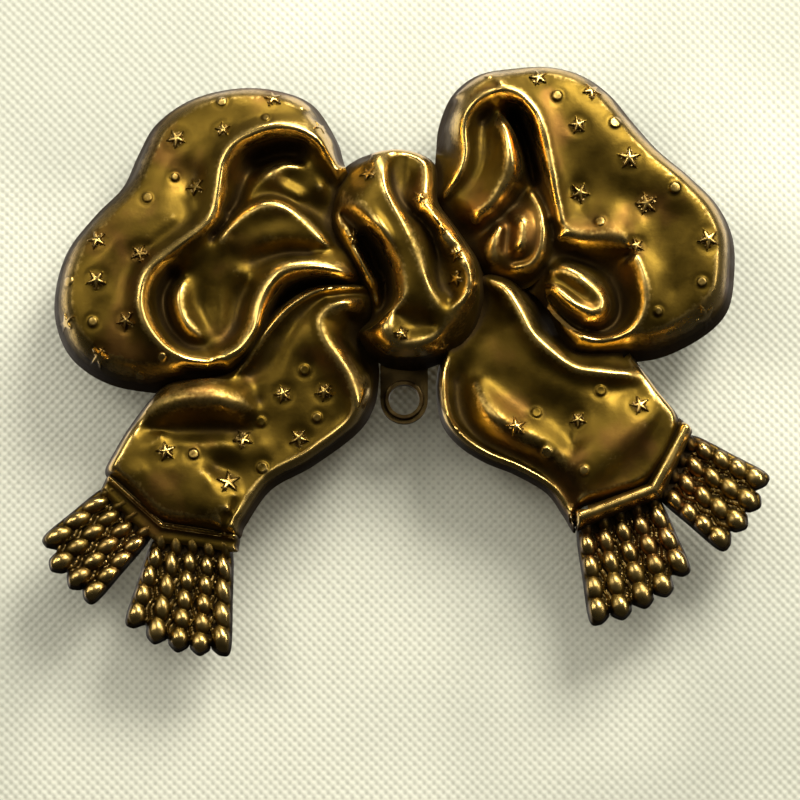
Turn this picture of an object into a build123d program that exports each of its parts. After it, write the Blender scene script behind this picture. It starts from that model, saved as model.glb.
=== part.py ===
"""A struck brass ribbon bow worn as an ornament: two loops, a knot, two fringed tails and a drop tab.

The bow hangs upright. +X is to its right, +Z is up and its front faces -Y. The origin is at the middle of
the pin bar's seat, on the rear face of the back plate. Millimetres.
"""

import math
import os

from build123d import *

os.makedirs("parts", exist_ok=True)

# Driving dimensions
SHEET = 0.5          # struck brass of the loops, tails and knot
PLATE = 0.6          # flat brass of the back plate and pin bar
LOOP_HEIGHT = 7.0
TAIL_HEIGHT = 5.0
KNOT_HEIGHT = 9.0
LINING_FLOOR = 2.6   # height of the pleated lining's flat ground inside a loop
LINING_RIM = 5.8     # height of the lining's wall
PLEAT_RISE = 2.4     # of a fold above that floor
ROLL_HEIGHT = 6.2
HEM_HEIGHT = 3.4
HEM_WIDTH = 1.3
HEM_ROUNDING = 0.43
STRAND_RADIUS = 0.62
STRAND_LIFT = 0.75   # height of a strand's axis in front of the rims
FIT_GAP = 0.05       # between soldered pieces, and round turning ones

# Heights count from the rims of the struck pieces, which stand on the back plate's front face.
RIMS = Plane.XZ.offset(PLATE)
REAR = Plane.XZ

# Crown of a struck piece: (share of its outline, share of its height) from the rim up
CROWN = ((1.0, 0.0), (0.97, 0.38), (0.88, 0.74), (0.72, 0.93), (0.5, 1.0))

LEFT_LOOP = (
    (-5.3, 9.4), (-6.0, 13.0), (-10.8, 16.1), (-14.8, 16.5), (-18.3, 15.9), (-21.6, 14.1),
    (-24.3, 9.4), (-28.3, 4.9), (-30.9, 0.0), (-30.6, -4.4), (-27.4, -8.6), (-21.0, -10.6),
    (-12.0, -8.2), (-4.6, -2.5), (-3.3, 3.5),
)
LEFT_LOOP_CENTRE = (-16.5, 4.0)
LEFT_MOUTH = (
    (-6.2, 6.4), (-7.4, 10.0), (-10.8, 11.8), (-14.4, 10.2), (-16.6, 5.0), (-20.8, 1.8),
    (-22.6, -2.2), (-20.6, -6.2), (-15.6, -7.4), (-10.4, -5.0), (-6.2, -1.0),
)
LEFT_MOUTH_CENTRE = (-13.5, 1.2)
RIGHT_LOOP = (
    (2.9, 9.4), (2.9, 13.0), (4.6, 16.2), (8.6, 17.8), (14.8, 17.7), (19.4, 15.4),
    (22.8, 10.8), (27.2, 6.4), (28.9, 0.4), (27.6, -4.6), (24.1, -7.1), (18.6, -8.0),
    (14.0, -7.4), (11.6, -3.2), (7.3, -0.5), (4.4, 4.4),
)
RIGHT_LOOP_CENTRE = (16.0, 5.5)
RIGHT_UPPER_MOUTH = (
    (4.6, 9.6), (5.4, 13.6), (8.4, 15.2), (11.4, 13.4), (12.0, 8.4), (13.0, 3.4),
    (11.4, -0.4), (8.2, -0.2), (6.6, 3.4),
)
RIGHT_UPPER_CENTRE = (8.8, 7.2)
RIGHT_LOWER_MOUTH = ((14.0, 2.0), (17.6, 1.6), (20.2, -1.0), (19.0, -4.4), (15.8, -4.4), (13.6, -1.0))
RIGHT_LOWER_CENTRE = (16.8, -1.2)
# Folds that stand on the linings' floors inside the mouths
LEFT_PLEAT = (
    (-17.0, 2.0), (-14.9, 5.2), (-12.9, 6.6), (-10.6, 6.4), (-8.9, 4.4), (-8.4, 1.2), (-10.0, -1.4),
    (-13.4, -2.6), (-16.6, -2.0),
)
LEFT_PLEAT_CENTRE = (-12.7, 2.0)
LOBE = ((6.6, 12.6), (8.4, 13.4), (10.0, 11.6), (10.4, 8.6), (9.0, 7.0), (7.4, 6.4), (6.4, 8.4))
LOBE_CENTRE = (8.3, 9.8)
PETAL = ((9.2, 6.2), (10.8, 6.0), (11.2, 3.6), (10.4, 1.2), (9.0, 0.9), (7.8, 2.8), (8.0, 5.0))
PETAL_CENTRE = (9.5, 3.6)
TONGUE = ((15.0, 0.8), (17.2, 0.4), (18.6, -1.2), (18.0, -3.2), (16.2, -3.6), (14.8, -1.4))
TONGUE_CENTRE = (16.7, -1.4)

LEFT_TAIL = (
    (-4.6, -3.5), (-2.5, -8.2), (-2.9, -11.8), (-7.3, -16.1), (-10.8, -18.2), (-13.6, -20.9),
    (-15.6, -24.2), (-22.1, -23.4), (-26.4, -19.0), (-25.2, -15.0), (-22.3, -11.7),
    (-17.4, -9.4), (-13.0, -8.2), (-9.1, -4.4),
)
LEFT_TAIL_CENTRE = (-13.0, -13.0)
LEFT_ROLL = (
    (-22.6, -12.4), (-18.8, -9.8), (-14.6, -10.0), (-13.1, -11.4), (-14.4, -13.2), (-18.8, -13.6),
    (-21.4, -13.6),
)
LEFT_ROLL_CENTRE = (-17.8, -11.8)
RIGHT_TAIL = (
    (5.5, -5.6), (3.2, -9.6), (3.1, -13.2), (6.4, -16.2), (11.1, -18.6), (13.4, -21.4),
    (15.4, -22.6), (21.1, -20.0), (24.9, -14.2), (22.2, -10.6), (17.0, -6.0), (9.6, -1.9),
)
RIGHT_TAIL_CENTRE = (13.0, -12.5)
KNOT = (
    (-5.5, 9.2), (-1.1, 10.8), (2.9, 9.7), (3.4, 6.2), (6.0, 2.1), (7.1, -1.6), (6.0, -5.3),
    (1.1, -8.1), (-3.4, -6.2), (-3.4, -2.4), (-6.0, 1.9), (-6.8, 5.6),
)
KNOT_CENTRE = (0.4, 1.2)

# Hem bands: the corner points of each chevron's middle line
LEFT_HEM = ((-26.6, -17.8), (-21.9, -22.5), (-15.2, -23.4))
RIGHT_HEM = ((14.6, -21.9), (21.3, -19.0), (24.4, -14.3))

# Fringe bunches: root and tip of the first strand, root and tip of the last one, how many strands there are
# and the share by which the middle strands reach further than the outer two
BUNCHES = {
    "left_outer_fringe": ((-26.6, -19.2), (-31.2, -23.2), (-23.0, -23.4), (-27.0, -28.6), 5, 0.3),
    "left_inner_fringe": ((-21.6, -24.4), (-23.6, -31.2), (-16.3, -24.8), (-16.3, -33.4), 5, 0.2),
    "right_inner_fringe": ((15.5, -23.2), (17.1, -30.6), (20.8, -20.9), (23.8, -27.0), 5, 0.2),
    "right_outer_fringe": ((22.0, -20.0), (27.2, -24.0), (25.1, -15.7), (31.2, -18.2), 4, 0.2),
}
BEADS = 6            # on each strand
BEAD_NECK = 0.8      # radius between two beads, as a share of the bead's

# Drop tab
TAB_X, TAB_Z = -0.3, -11.4
TAB_HALF_WIDTH = 2.1
TAB_HOLE_RADIUS = 1.35
TAB_LIP_RADIUS = 1.75
EYELET_WALL = 0.2
TAB_LIP_HEIGHT = 0.3
TAB_TOP = -5.0

# Back plate
PLATE_LEFT = -30.4
PLATE_RIGHT = 28.4
PLATE_HALF_WIDTH = 3.2
PLATE_WAIST = ((-3.6, 7.6), (3.4, 7.6), (5.2, -7.2), (-3.6, -7.2))

# Pin bar, hinge and catch, behind the back plate
BAR_HALF_LENGTH = 18.0
BAR_HALF_WIDTH = 2.2
BAR_HOLES = (-7.0, 7.0)
BAR_HOLE_RADIUS = 0.6
BAR_RIVET_HEAD_RADIUS = 1.1
AXIS_LIFT = 3.0      # the stem's axis behind the back plate's rear face
HINGE_X = -15.5
HINGE_CENTRE = (HINGE_X, AXIS_LIFT)
EAR_THICKNESS = 0.5
EAR_RADIUS = 1.3
KNUCKLE_RADIUS = 1.1
KNUCKLE_HALF_LENGTH = 1.15
RIVET_RADIUS = 0.5
RIVET_HEAD_RADIUS = 0.85
RIVET_HEAD = 0.35
STEM_RADIUS = 0.4
STEM_POINT = 3.0     # length of its taper
STEM_TIP_RADIUS = 0.1
STEM_END_X = 17.6
CATCH_X = 14.6
CATCH_LENGTH = 2.2
CATCH_OUTER = 1.9
CATCH_INNER = 1.4
CATCH_SLOT = 1.1
CATCH_FOOT_HALF_WIDTH = 1.2
LOCK_BORE = 0.62
LOCK_COLLAR = 0.5
LOCK_COLLAR_RADIUS = 1.75
LEVER_REACH = 3.4
LEVER_WIDTH = 1.3


def drawn_in(points, centre, share, inset):
    """The points moved towards centre: to a share of their distance, less inset."""
    moved = []
    for x, z in points:
        reach = math.hypot(x - centre[0], z - centre[1])
        keep = share - inset / reach
        moved.append((centre[0] + (x - centre[0]) * keep, centre[1] + (z - centre[1]) * keep))
    return moved


def crowned(points, centre, height, inset=0.0, base=0.0):
    """A filled crown: the outline at its base, drawn in towards centre as it rises by height."""
    with BuildPart() as crown:
        for share, rise in CROWN:
            with BuildSketch(RIMS.offset(base + height * rise)):
                with BuildLine():
                    Spline(*drawn_in(points, centre, share, inset), periodic=True)
                make_face()
        loft()
    return crown.part


def prism(points, centre, low, high, inset=0.0):
    """A straight block of the outline between two heights."""
    with BuildPart() as block:
        with BuildSketch(RIMS.offset(low)):
            with BuildLine():
                Spline(*drawn_in(points, centre, 1.0, inset), periodic=True)
            make_face()
        extrude(amount=high - low)
    return block.part


def on_rear(height):
    """A plane parallel to the bow, height behind the back plate's rear face."""
    return REAR.offset(-height)


def finish(builder, name):
    """Labels the piece and writes it."""
    builder.part.label = name
    export_step(builder.part, f"parts/{name}.step")


# Filled crowns, which neighbouring pieces are cut back from
left_loop_fill = crowned(LEFT_LOOP, LEFT_LOOP_CENTRE, LOOP_HEIGHT, -FIT_GAP)
knot_fill = crowned(KNOT, KNOT_CENTRE, KNOT_HEIGHT, -FIT_GAP)
right_loop_fill = crowned(RIGHT_LOOP, RIGHT_LOOP_CENTRE, LOOP_HEIGHT, -FIT_GAP)
left_tail_fill = crowned(LEFT_TAIL, LEFT_TAIL_CENTRE, TAIL_HEIGHT, -FIT_GAP)

# The knot wraps the middle of the bow
with BuildPart() as knot:
    add(crowned(KNOT, KNOT_CENTRE, KNOT_HEIGHT))
    add(crowned(KNOT, KNOT_CENTRE, KNOT_HEIGHT - SHEET, SHEET), mode=Mode.SUBTRACT)
finish(knot, "knot")

# Each loop is a crowned ribbon, open at the back and open at its mouth
with BuildPart() as left_loop:
    add(crowned(LEFT_LOOP, LEFT_LOOP_CENTRE, LOOP_HEIGHT))
    add(crowned(LEFT_LOOP, LEFT_LOOP_CENTRE, LOOP_HEIGHT - SHEET, SHEET), mode=Mode.SUBTRACT)
    add(prism(LEFT_MOUTH, LEFT_MOUTH_CENTRE, LINING_FLOOR, KNOT_HEIGHT), mode=Mode.SUBTRACT)
    add(knot_fill, mode=Mode.SUBTRACT)
    add(left_tail_fill, mode=Mode.SUBTRACT)
finish(left_loop, "left_loop")

with BuildPart() as right_loop:
    add(crowned(RIGHT_LOOP, RIGHT_LOOP_CENTRE, LOOP_HEIGHT))
    add(crowned(RIGHT_LOOP, RIGHT_LOOP_CENTRE, LOOP_HEIGHT - SHEET, SHEET), mode=Mode.SUBTRACT)
    add(prism(RIGHT_UPPER_MOUTH, RIGHT_UPPER_CENTRE, LINING_FLOOR, KNOT_HEIGHT), mode=Mode.SUBTRACT)
    add(prism(RIGHT_LOWER_MOUTH, RIGHT_LOWER_CENTRE, LINING_FLOOR, KNOT_HEIGHT), mode=Mode.SUBTRACT)
    add(knot_fill, mode=Mode.SUBTRACT)
finish(right_loop, "right_loop")


def lining(mouth, centre):
    """A dished tray that closes a loop's mouth: a floor with a wall up to the ribbon's edge."""
    with BuildPart() as tray:
        add(prism(mouth, centre, LINING_FLOOR, LINING_RIM, FIT_GAP))
        add(prism(mouth, centre, LINING_FLOOR + SHEET, LOOP_HEIGHT, FIT_GAP + SHEET), mode=Mode.SUBTRACT)
        add(knot_fill, mode=Mode.SUBTRACT)
    return tray


finish(lining(LEFT_MOUTH, LEFT_MOUTH_CENTRE), "left_loop_lining")
finish(lining(RIGHT_UPPER_MOUTH, RIGHT_UPPER_CENTRE), "right_loop_upper_lining")
finish(lining(RIGHT_LOWER_MOUTH, RIGHT_LOWER_CENTRE), "right_loop_lower_lining")


def fold(points, centre):
    """A puffed fold of ribbon that stands on a lining's floor."""
    with BuildPart() as puff:
        add(crowned(points, centre, PLEAT_RISE, base=LINING_FLOOR + SHEET))
        add(knot_fill, mode=Mode.SUBTRACT)
    return puff


finish(fold(LEFT_PLEAT, LEFT_PLEAT_CENTRE), "left_loop_pleat")
finish(fold(LOBE, LOBE_CENTRE), "right_loop_lobe")
finish(fold(PETAL, PETAL_CENTRE), "right_loop_petal")
finish(fold(TONGUE, TONGUE_CENTRE), "right_loop_tongue")


def hem(corners, name):
    """A raised band along a tail's chevron end."""
    with BuildPart() as band:
        with BuildSketch(RIMS):
            with BuildLine():
                middle = Polyline(*corners)
                offset(middle, amount=HEM_WIDTH / 2, kind=Kind.INTERSECTION, side=Side.BOTH)
            make_face()
        extrude(amount=HEM_HEIGHT)
        front = band.faces().sort_by(Axis.Y)[0]
        fillet(front.edges(), radius=HEM_ROUNDING)
    finish(band, name)
    return band.part


left_hem = hem(LEFT_HEM, "left_hem")
right_hem = hem(RIGHT_HEM, "right_hem")


# Tails: crowned ribbons, open at the back, that pass under the knot and end at their hems
with BuildPart() as left_tail:
    add(crowned(LEFT_TAIL, LEFT_TAIL_CENTRE, TAIL_HEIGHT))
    add(crowned(LEFT_TAIL, LEFT_TAIL_CENTRE, TAIL_HEIGHT - SHEET, SHEET), mode=Mode.SUBTRACT)
    add(knot_fill, mode=Mode.SUBTRACT)
    add(left_hem, mode=Mode.SUBTRACT)
finish(left_tail, "left_tail")

with BuildPart() as right_tail_blank:
    add(crowned(RIGHT_TAIL, RIGHT_TAIL_CENTRE, TAIL_HEIGHT))
    add(crowned(RIGHT_TAIL, RIGHT_TAIL_CENTRE, TAIL_HEIGHT - SHEET, SHEET), mode=Mode.SUBTRACT)
    add(knot_fill, mode=Mode.SUBTRACT)
    add(right_loop_fill, mode=Mode.SUBTRACT)
    add(right_hem, mode=Mode.SUBTRACT)
with BuildPart() as right_tail:
    add(right_tail_blank.solids().sort_by(SortBy.VOLUME)[-1])
finish(right_tail, "right_tail")

with BuildPart() as left_tail_roll:
    add(crowned(LEFT_ROLL, LEFT_ROLL_CENTRE, ROLL_HEIGHT))
    add(left_tail_fill, mode=Mode.SUBTRACT)
    add(left_loop_fill, mode=Mode.SUBTRACT)
finish(left_tail_roll, "left_tail_roll")


def strand(root, tip):
    """A beaded strand, turned about the line from root to tip."""
    length = math.hypot(tip[0] - root[0], tip[1] - root[1])
    along = ((tip[0] - root[0]) / length, 0, (tip[1] - root[1]) / length)
    start = (root[0], -PLATE - STRAND_LIFT, root[1])
    bead = length / BEADS
    neck = STRAND_RADIUS * BEAD_NECK
    with BuildPart() as turned:
        with BuildSketch(Plane(origin=start, x_dir=along, z_dir=(0, -1, 0))):
            with BuildLine():
                for i in range(BEADS):
                    ThreePointArc((i * bead, neck), ((i + 0.5) * bead, STRAND_RADIUS), ((i + 1) * bead, neck))
                Polyline((length, neck), (length, 0), (0, 0), (0, neck))
            make_face()
        revolve(axis=Axis(start, along))
    return turned.part


def between(first, last, share):
    """The point a share of the way from first to last."""
    return (first[0] + (last[0] - first[0]) * share, first[1] + (last[1] - first[1]) * share)


def fringe(first_root, first_tip, last_root, last_tip, count, reach, neighbours, name):
    """A bunch of beaded strands on a thin web, cut back from its tail and hem."""
    with BuildPart() as bunch:
        with BuildSketch(RIMS):
            with BuildLine():
                Polyline(first_root, first_tip, last_tip, last_root, close=True)
            make_face()
        extrude(amount=SHEET)
        for i in range(count):
            share = i / (count - 1)
            root = between(first_root, last_root, share)
            tip = between(first_tip, last_tip, share)
            longer = share * (1 - share) * reach
            add(strand(root, between(root, tip, 1 + longer)))
        add(neighbours, mode=Mode.SUBTRACT)
    finish(bunch, name)


NEIGHBOURS = {"left": (left_hem, left_tail.part), "right": (right_hem, right_tail.part)}
for bunch_name, bunch_shape in BUNCHES.items():
    fringe(*bunch_shape, NEIGHBOURS[bunch_name.split("_")[0]], bunch_name)

# Back plate: a long strap behind the rims, a waist behind the knot and the drop tab below it
with BuildPart() as back_plate:
    with BuildSketch(REAR):
        with Locations(((PLATE_LEFT + PLATE_RIGHT) / 2, 0)):
            SlotOverall(PLATE_RIGHT - PLATE_LEFT, 2 * PLATE_HALF_WIDTH)
        with BuildLine():
            Polyline(*PLATE_WAIST, close=True)
        make_face()
        with Locations((TAB_X, TAB_Z)):
            Circle(TAB_HALF_WIDTH)
        with Locations((TAB_X, (TAB_Z + TAB_TOP) / 2)):
            Rectangle(2 * TAB_HALF_WIDTH, TAB_TOP - TAB_Z)
        with Locations((TAB_X, TAB_Z)):
            Circle(TAB_HOLE_RADIUS + EYELET_WALL, mode=Mode.SUBTRACT)
        with Locations(*[(x, 0) for x in BAR_HOLES]):
            Circle(BAR_HOLE_RADIUS, mode=Mode.SUBTRACT)
    extrude(amount=PLATE)
finish(back_plate, "back_plate")

# Eyelet through the drop tab, rolled over on its front
with BuildPart() as drop_eyelet:
    with BuildSketch(REAR):
        with Locations((TAB_X, TAB_Z)):
            Circle(TAB_HOLE_RADIUS + EYELET_WALL)
    extrude(amount=PLATE)
    with BuildSketch(RIMS):
        with Locations((TAB_X, TAB_Z)):
            Circle(TAB_LIP_RADIUS)
    extrude(amount=TAB_LIP_HEIGHT)
    fillet(drop_eyelet.faces().sort_by(Axis.Y)[0].edges(), radius=TAB_LIP_HEIGHT / 2)
    with BuildSketch(REAR):
        with Locations((TAB_X, TAB_Z)):
            Circle(TAB_HOLE_RADIUS)
    extrude(amount=PLATE + TAB_LIP_HEIGHT, mode=Mode.SUBTRACT)
finish(drop_eyelet, "drop_eyelet")

# Pin bar: a flat strip on the plate's rear with two ears that hold the hinge rivet
ear_middle = KNUCKLE_HALF_LENGTH + FIT_GAP + EAR_THICKNESS / 2
with BuildPart() as pin_bar:
    with BuildSketch(on_rear(PLATE)):
        SlotOverall(2 * BAR_HALF_LENGTH, 2 * BAR_HALF_WIDTH)
        with Locations(*[(x, 0) for x in BAR_HOLES]):
            Circle(BAR_HOLE_RADIUS, mode=Mode.SUBTRACT)
    extrude(amount=PLATE)
    for side in (-1, 1):
        with BuildSketch(Plane.XY.offset(side * ear_middle)):
            with Locations(HINGE_CENTRE):
                Circle(EAR_RADIUS)
            with Locations((HINGE_X, (AXIS_LIFT + PLATE / 2) / 2)):
                Rectangle(2 * EAR_RADIUS, AXIS_LIFT - PLATE / 2)
            with Locations(HINGE_CENTRE):
                Circle(RIVET_RADIUS + FIT_GAP / 2, mode=Mode.SUBTRACT)
        extrude(amount=EAR_THICKNESS / 2, both=True)
finish(pin_bar, "pin_bar")

# Two rivets hold the bar to the plate, with a low head behind and flush in front
with BuildPart() as bar_rivets:
    with BuildSketch(RIMS):
        with Locations(*[(x, 0) for x in BAR_HOLES]):
            Circle(BAR_HOLE_RADIUS - FIT_GAP / 2)
    extrude(amount=-2 * PLATE)
    with BuildSketch(on_rear(PLATE + RIVET_HEAD)):
        with Locations(*[(x, 0) for x in BAR_HOLES]):
            Circle(BAR_RIVET_HEAD_RADIUS)
    extrude(amount=RIVET_HEAD)
    rear_rims = bar_rivets.faces().sort_by(Axis.Y)[-2:].edges()
    fillet(rear_rims, radius=RIVET_HEAD / 2)
finish(bar_rivets, "bar_rivets")

# Hinge rivet: a shaft across both ears with a head outside each
head_start = ear_middle + EAR_THICKNESS / 2
with BuildPart() as hinge_rivet:
    with BuildSketch(Plane.XY):
        with Locations(HINGE_CENTRE):
            Circle(RIVET_RADIUS)
    extrude(amount=head_start, both=True)
    for side in (-1, 1):
        with BuildSketch(Plane.XY.offset(side * head_start)):
            with Locations(HINGE_CENTRE):
                Circle(RIVET_HEAD_RADIUS)
        extrude(amount=side * RIVET_HEAD)
    ends = hinge_rivet.faces().sort_by(Axis.Z)
    fillet([*ends[0].edges(), *ends[-1].edges()], radius=RIVET_HEAD / 2)
finish(hinge_rivet, "hinge_rivet")

# Pin stem: a knuckle on the rivet and a pointed wire that runs to the catch
with BuildPart() as pin_stem:
    with BuildSketch(Plane.XY):
        with Locations(HINGE_CENTRE):
            Circle(KNUCKLE_RADIUS)
    extrude(amount=KNUCKLE_HALF_LENGTH, both=True)
    with BuildSketch(Plane.XY):
        with BuildLine():
            Polyline(
                (HINGE_X, AXIS_LIFT), (HINGE_X, AXIS_LIFT + STEM_RADIUS),
                (STEM_END_X - STEM_POINT, AXIS_LIFT + STEM_RADIUS),
                (STEM_END_X, AXIS_LIFT + STEM_TIP_RADIUS), (STEM_END_X, AXIS_LIFT), close=True,
            )
        make_face()
    revolve(axis=Axis((HINGE_X, AXIS_LIFT, 0), (1, 0, 0)))
    with BuildSketch(Plane.XY):
        with Locations(HINGE_CENTRE):
            Circle(RIVET_RADIUS + FIT_GAP)
    extrude(amount=2 * KNUCKLE_HALF_LENGTH, both=True, mode=Mode.SUBTRACT)
finish(pin_stem, "pin_stem")


def catch_section(start):
    """A plane across the stem's axis, with its local x along +Y and its local y along +Z."""
    return Plane(origin=(start, AXIS_LIFT, 0), x_dir=(0, 1, 0), z_dir=(1, 0, 0))


# Catch casing: a slotted tube on a foot, open to the rear
with BuildPart() as catch_casing:
    with BuildSketch(catch_section(CATCH_X)):
        Circle(CATCH_OUTER)
        with Locations((-(AXIS_LIFT - PLATE) / 2, 0)):
            Rectangle(AXIS_LIFT - PLATE, 2 * CATCH_FOOT_HALF_WIDTH)
        Circle(CATCH_INNER, mode=Mode.SUBTRACT)
        with Locations((CATCH_OUTER, 0)):
            Rectangle(2 * CATCH_OUTER, CATCH_SLOT, mode=Mode.SUBTRACT)
    extrude(amount=CATCH_LENGTH)
finish(catch_casing, "catch_casing")

# Catch lock: a slotted sleeve inside the casing, with a collar at each end and a lever on the outer one
with BuildPart() as catch_lock:
    with BuildSketch(catch_section(CATCH_X - LOCK_COLLAR - FIT_GAP)):
        Circle(CATCH_INNER - FIT_GAP)
    extrude(amount=CATCH_LENGTH + 2 * (LOCK_COLLAR + FIT_GAP))
    for start in (CATCH_X - LOCK_COLLAR - FIT_GAP, CATCH_X + CATCH_LENGTH + FIT_GAP):
        with BuildSketch(catch_section(start)):
            Circle(LOCK_COLLAR_RADIUS)
        extrude(amount=LOCK_COLLAR)
    with BuildSketch(catch_section(CATCH_X + CATCH_LENGTH + FIT_GAP)):
        with Locations((0, -LEVER_REACH / 2)):
            Rectangle(LEVER_WIDTH, LEVER_REACH)
        with Locations((0, -LEVER_REACH)):
            Circle(LEVER_WIDTH / 2)
    extrude(amount=LOCK_COLLAR)
    with BuildSketch(catch_section(CATCH_X - 2 * LOCK_COLLAR)):
        Circle(LOCK_BORE)
        with Locations((CATCH_OUTER, 0)):
            Rectangle(2 * CATCH_OUTER, CATCH_SLOT)
    extrude(amount=CATCH_LENGTH + 4 * LOCK_COLLAR, mode=Mode.SUBTRACT)
finish(catch_lock, "catch_lock")
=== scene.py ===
"""Looks of the struck brass bow: folded relief, stars and dots, beaded fringe, antiqued finish.

The relief is drawn as strokes on the bow's face: lists of (x, z, height) in millimetres. Height counts
from the rear plane of the back plate towards the front. x and z are drawn as they look from the camera,
which stands a little below the bow, so a stroke drops by its height times the tangent of that tilt.
"""

import math

import bpy
import numpy as np
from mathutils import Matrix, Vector
from mathutils.geometry import delaunay_2d_cdt


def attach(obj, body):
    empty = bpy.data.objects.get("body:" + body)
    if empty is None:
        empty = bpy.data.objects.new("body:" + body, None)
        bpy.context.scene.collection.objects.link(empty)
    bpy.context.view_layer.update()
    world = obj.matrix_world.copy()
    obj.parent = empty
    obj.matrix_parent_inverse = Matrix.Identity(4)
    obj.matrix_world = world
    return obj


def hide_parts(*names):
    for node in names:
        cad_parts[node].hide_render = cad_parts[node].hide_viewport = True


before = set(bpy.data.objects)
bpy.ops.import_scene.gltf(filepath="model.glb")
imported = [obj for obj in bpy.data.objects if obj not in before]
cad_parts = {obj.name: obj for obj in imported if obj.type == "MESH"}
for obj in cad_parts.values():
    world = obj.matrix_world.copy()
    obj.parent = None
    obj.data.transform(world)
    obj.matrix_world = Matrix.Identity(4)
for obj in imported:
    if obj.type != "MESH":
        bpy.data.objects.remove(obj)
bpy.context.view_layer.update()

bpy.context.scene.view_settings.view_transform = "Standard"

MM = 0.001
TILT = math.radians(8)        # of the sight line, from below
DRAWN_ORIGIN_Z = -8.0         # frame z of the drawing's zero
RIM = 0.6                     # height of the struck sheets' rims
BASE = RIM
SHEET = 0.38                  # visible thickness of the struck sheet
GRID = 0.15
STAMP_GRID = 0.075            # round stars and dots
STAMP_REACH = 1.45            # how far the finer grid goes, in a stamp's own radius
NO_WALL = 20.0                # a rim this high leaves the surface as it is
FREE_ABOVE = 9.9              # rims above this count as such
FREE_EDGE = 5.5               # height at which they are placed
STAMP_LEVEL = 6.0             # height at which stars and dots are placed
LOW_LEVEL = 1.8               # of the fringe
HEM_LEVEL = 3.6
CURVE_STEPS = 24              # samples in each span of a curve
SHARP = math.radians(60)
WALL_POWER = 2.2              # how round the walls' tops are
LINE = ((0.0, 0.0),)          # the cross-section of a plain stroke


# ---- curves -------------------------------------------------------------------------------------------

def smooth_curve(points, step, closed=False):
    """A Catmull-Rom curve through points of any width, sampled evenly."""
    points = np.asarray(points, float)
    count = len(points)
    spans = count if closed else count - 1
    dense = []
    for i in range(spans):
        if closed:
            a, b, c, d = (points[(i + k - 1) % count] for k in range(4))
        else:
            a, b, c, d = (points[min(max(i + k - 1, 0), count - 1)] for k in range(4))
        t = np.linspace(0, 1, CURVE_STEPS, endpoint=False)[:, None]
        dense.append(0.5 * (2 * b + (c - a) * t + (2 * a - 5 * b + 4 * c - d) * t ** 2
                            + (3 * b - a - 3 * c + d) * t ** 3))
    if not closed:
        dense.append(points[-1:])
    dense = np.concatenate(dense)
    if closed:
        dense = np.concatenate([dense, dense[:1]])
    along = np.concatenate([[0], np.cumsum(np.hypot(*np.diff(dense[:, :2], axis=0).T))])
    total = max(2, int(round(along[-1] / step)))
    where = np.linspace(0, along[-1], total + (0 if closed else 1), endpoint=not closed)
    return np.stack([np.interp(where, along, dense[:, k]) for k in range(points.shape[1])], axis=1)


def to_frame(drawn):
    """Drawn points (x, z, height) moved to the bow's own frame."""
    moved = np.array(drawn, float)
    height = moved[:, 2] if moved.shape[1] > 2 else 0.0
    moved[:, 1] = (moved[:, 1] - height * math.sin(TILT)) / math.cos(TILT) + DRAWN_ORIGIN_Z
    return moved


def side_normals(curve):
    """Unit normals to the left of an open curve's direction."""
    along = np.gradient(curve[:, :2], axis=0)
    along /= np.linalg.norm(along, axis=1)[:, None] + 1e-9
    return np.stack([-along[:, 1], along[:, 0]], axis=1)


# ---- a surface through strokes ------------------------------------------------------------------------

class Relief:
    """A thin-plate surface through strokes.

    A stroke is a list of points, or (points, profile), where the profile is a cross-section: it lists
    (offset to the left of the stroke's direction, change of height)."""

    def __init__(self, strokes, spacing=0.42, softness=4e-4, gap=0.3):
        kept = []
        cells = {}
        for stroke in strokes:
            points, profile = stroke if isinstance(stroke, tuple) else (stroke, LINE)
            curve = to_frame(smooth_curve(points, spacing))
            normals = side_normals(curve)
            for offset, rise in profile:
                moved = curve.copy()
                moved[:, :2] += normals * offset
                moved[:, 2] += rise
                fresh = [row for row in moved if self.is_clear(row, cells, gap)]
                for row in fresh:
                    cells.setdefault((int(row[0] // gap), int(row[1] // gap)), []).append(row)
                kept += fresh
        self.at = np.array(kept)
        count = len(self.at)
        system = np.zeros((count + 3, count + 3))
        system[:count, :count] = self.kernel(self.at, self.at) + softness * np.eye(count)
        system[:count, count] = 1
        system[:count, count + 1:] = self.at[:, :2] / 10
        system[count:, :count] = system[:count, count:].T
        wanted = np.concatenate([self.at[:, 2], np.zeros(3)])
        self.weights = np.linalg.solve(system, wanted)

    @staticmethod
    def is_clear(row, cells, gap):
        """Whether no earlier sample lies closer than the gap."""
        column, line = int(row[0] // gap), int(row[1] // gap)
        return all((row[0] - near[0]) ** 2 + (row[1] - near[1]) ** 2 > gap * gap
                   for i in (-1, 0, 1) for j in (-1, 0, 1) for near in cells.get((column + i, line + j), ()))

    @staticmethod
    def kernel(a, b):
        """The thin plate's kernel between two sets of points."""
        gap = ((a[:, None, :2] - b[None, :, :2]) ** 2).sum(axis=2) / 100
        return 0.5 * gap * np.log(gap + 1e-12)

    def __call__(self, points):
        """Heights of the surface."""
        heights = []
        for part in np.array_split(points, max(1, len(points) // 4000)):
            affine = self.weights[-3] + part[:, :2] @ self.weights[-2:] / 10
            heights.append(self.kernel(part, self.at) @ self.weights[:-3] + affine)
        return np.concatenate(heights)


# ---- stars and dots -----------------------------------------------------------------------------------

STAR_INNER = 0.36             # inner radius of a star, as a share of its points' radius
STAR_HEIGHT = 0.20
STAR_BEVEL = 0.14             # share of its radius over which its side falls
FACET_HEIGHT = 0.10           # rise from its edge to its middle
STAR_TURN = 2 * math.pi / 5
HALO_DEPTH = 0.09
DOT_HEIGHT = 0.20
DOT_BEVEL = 0.4
DOT_HALO = 0.04


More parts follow.
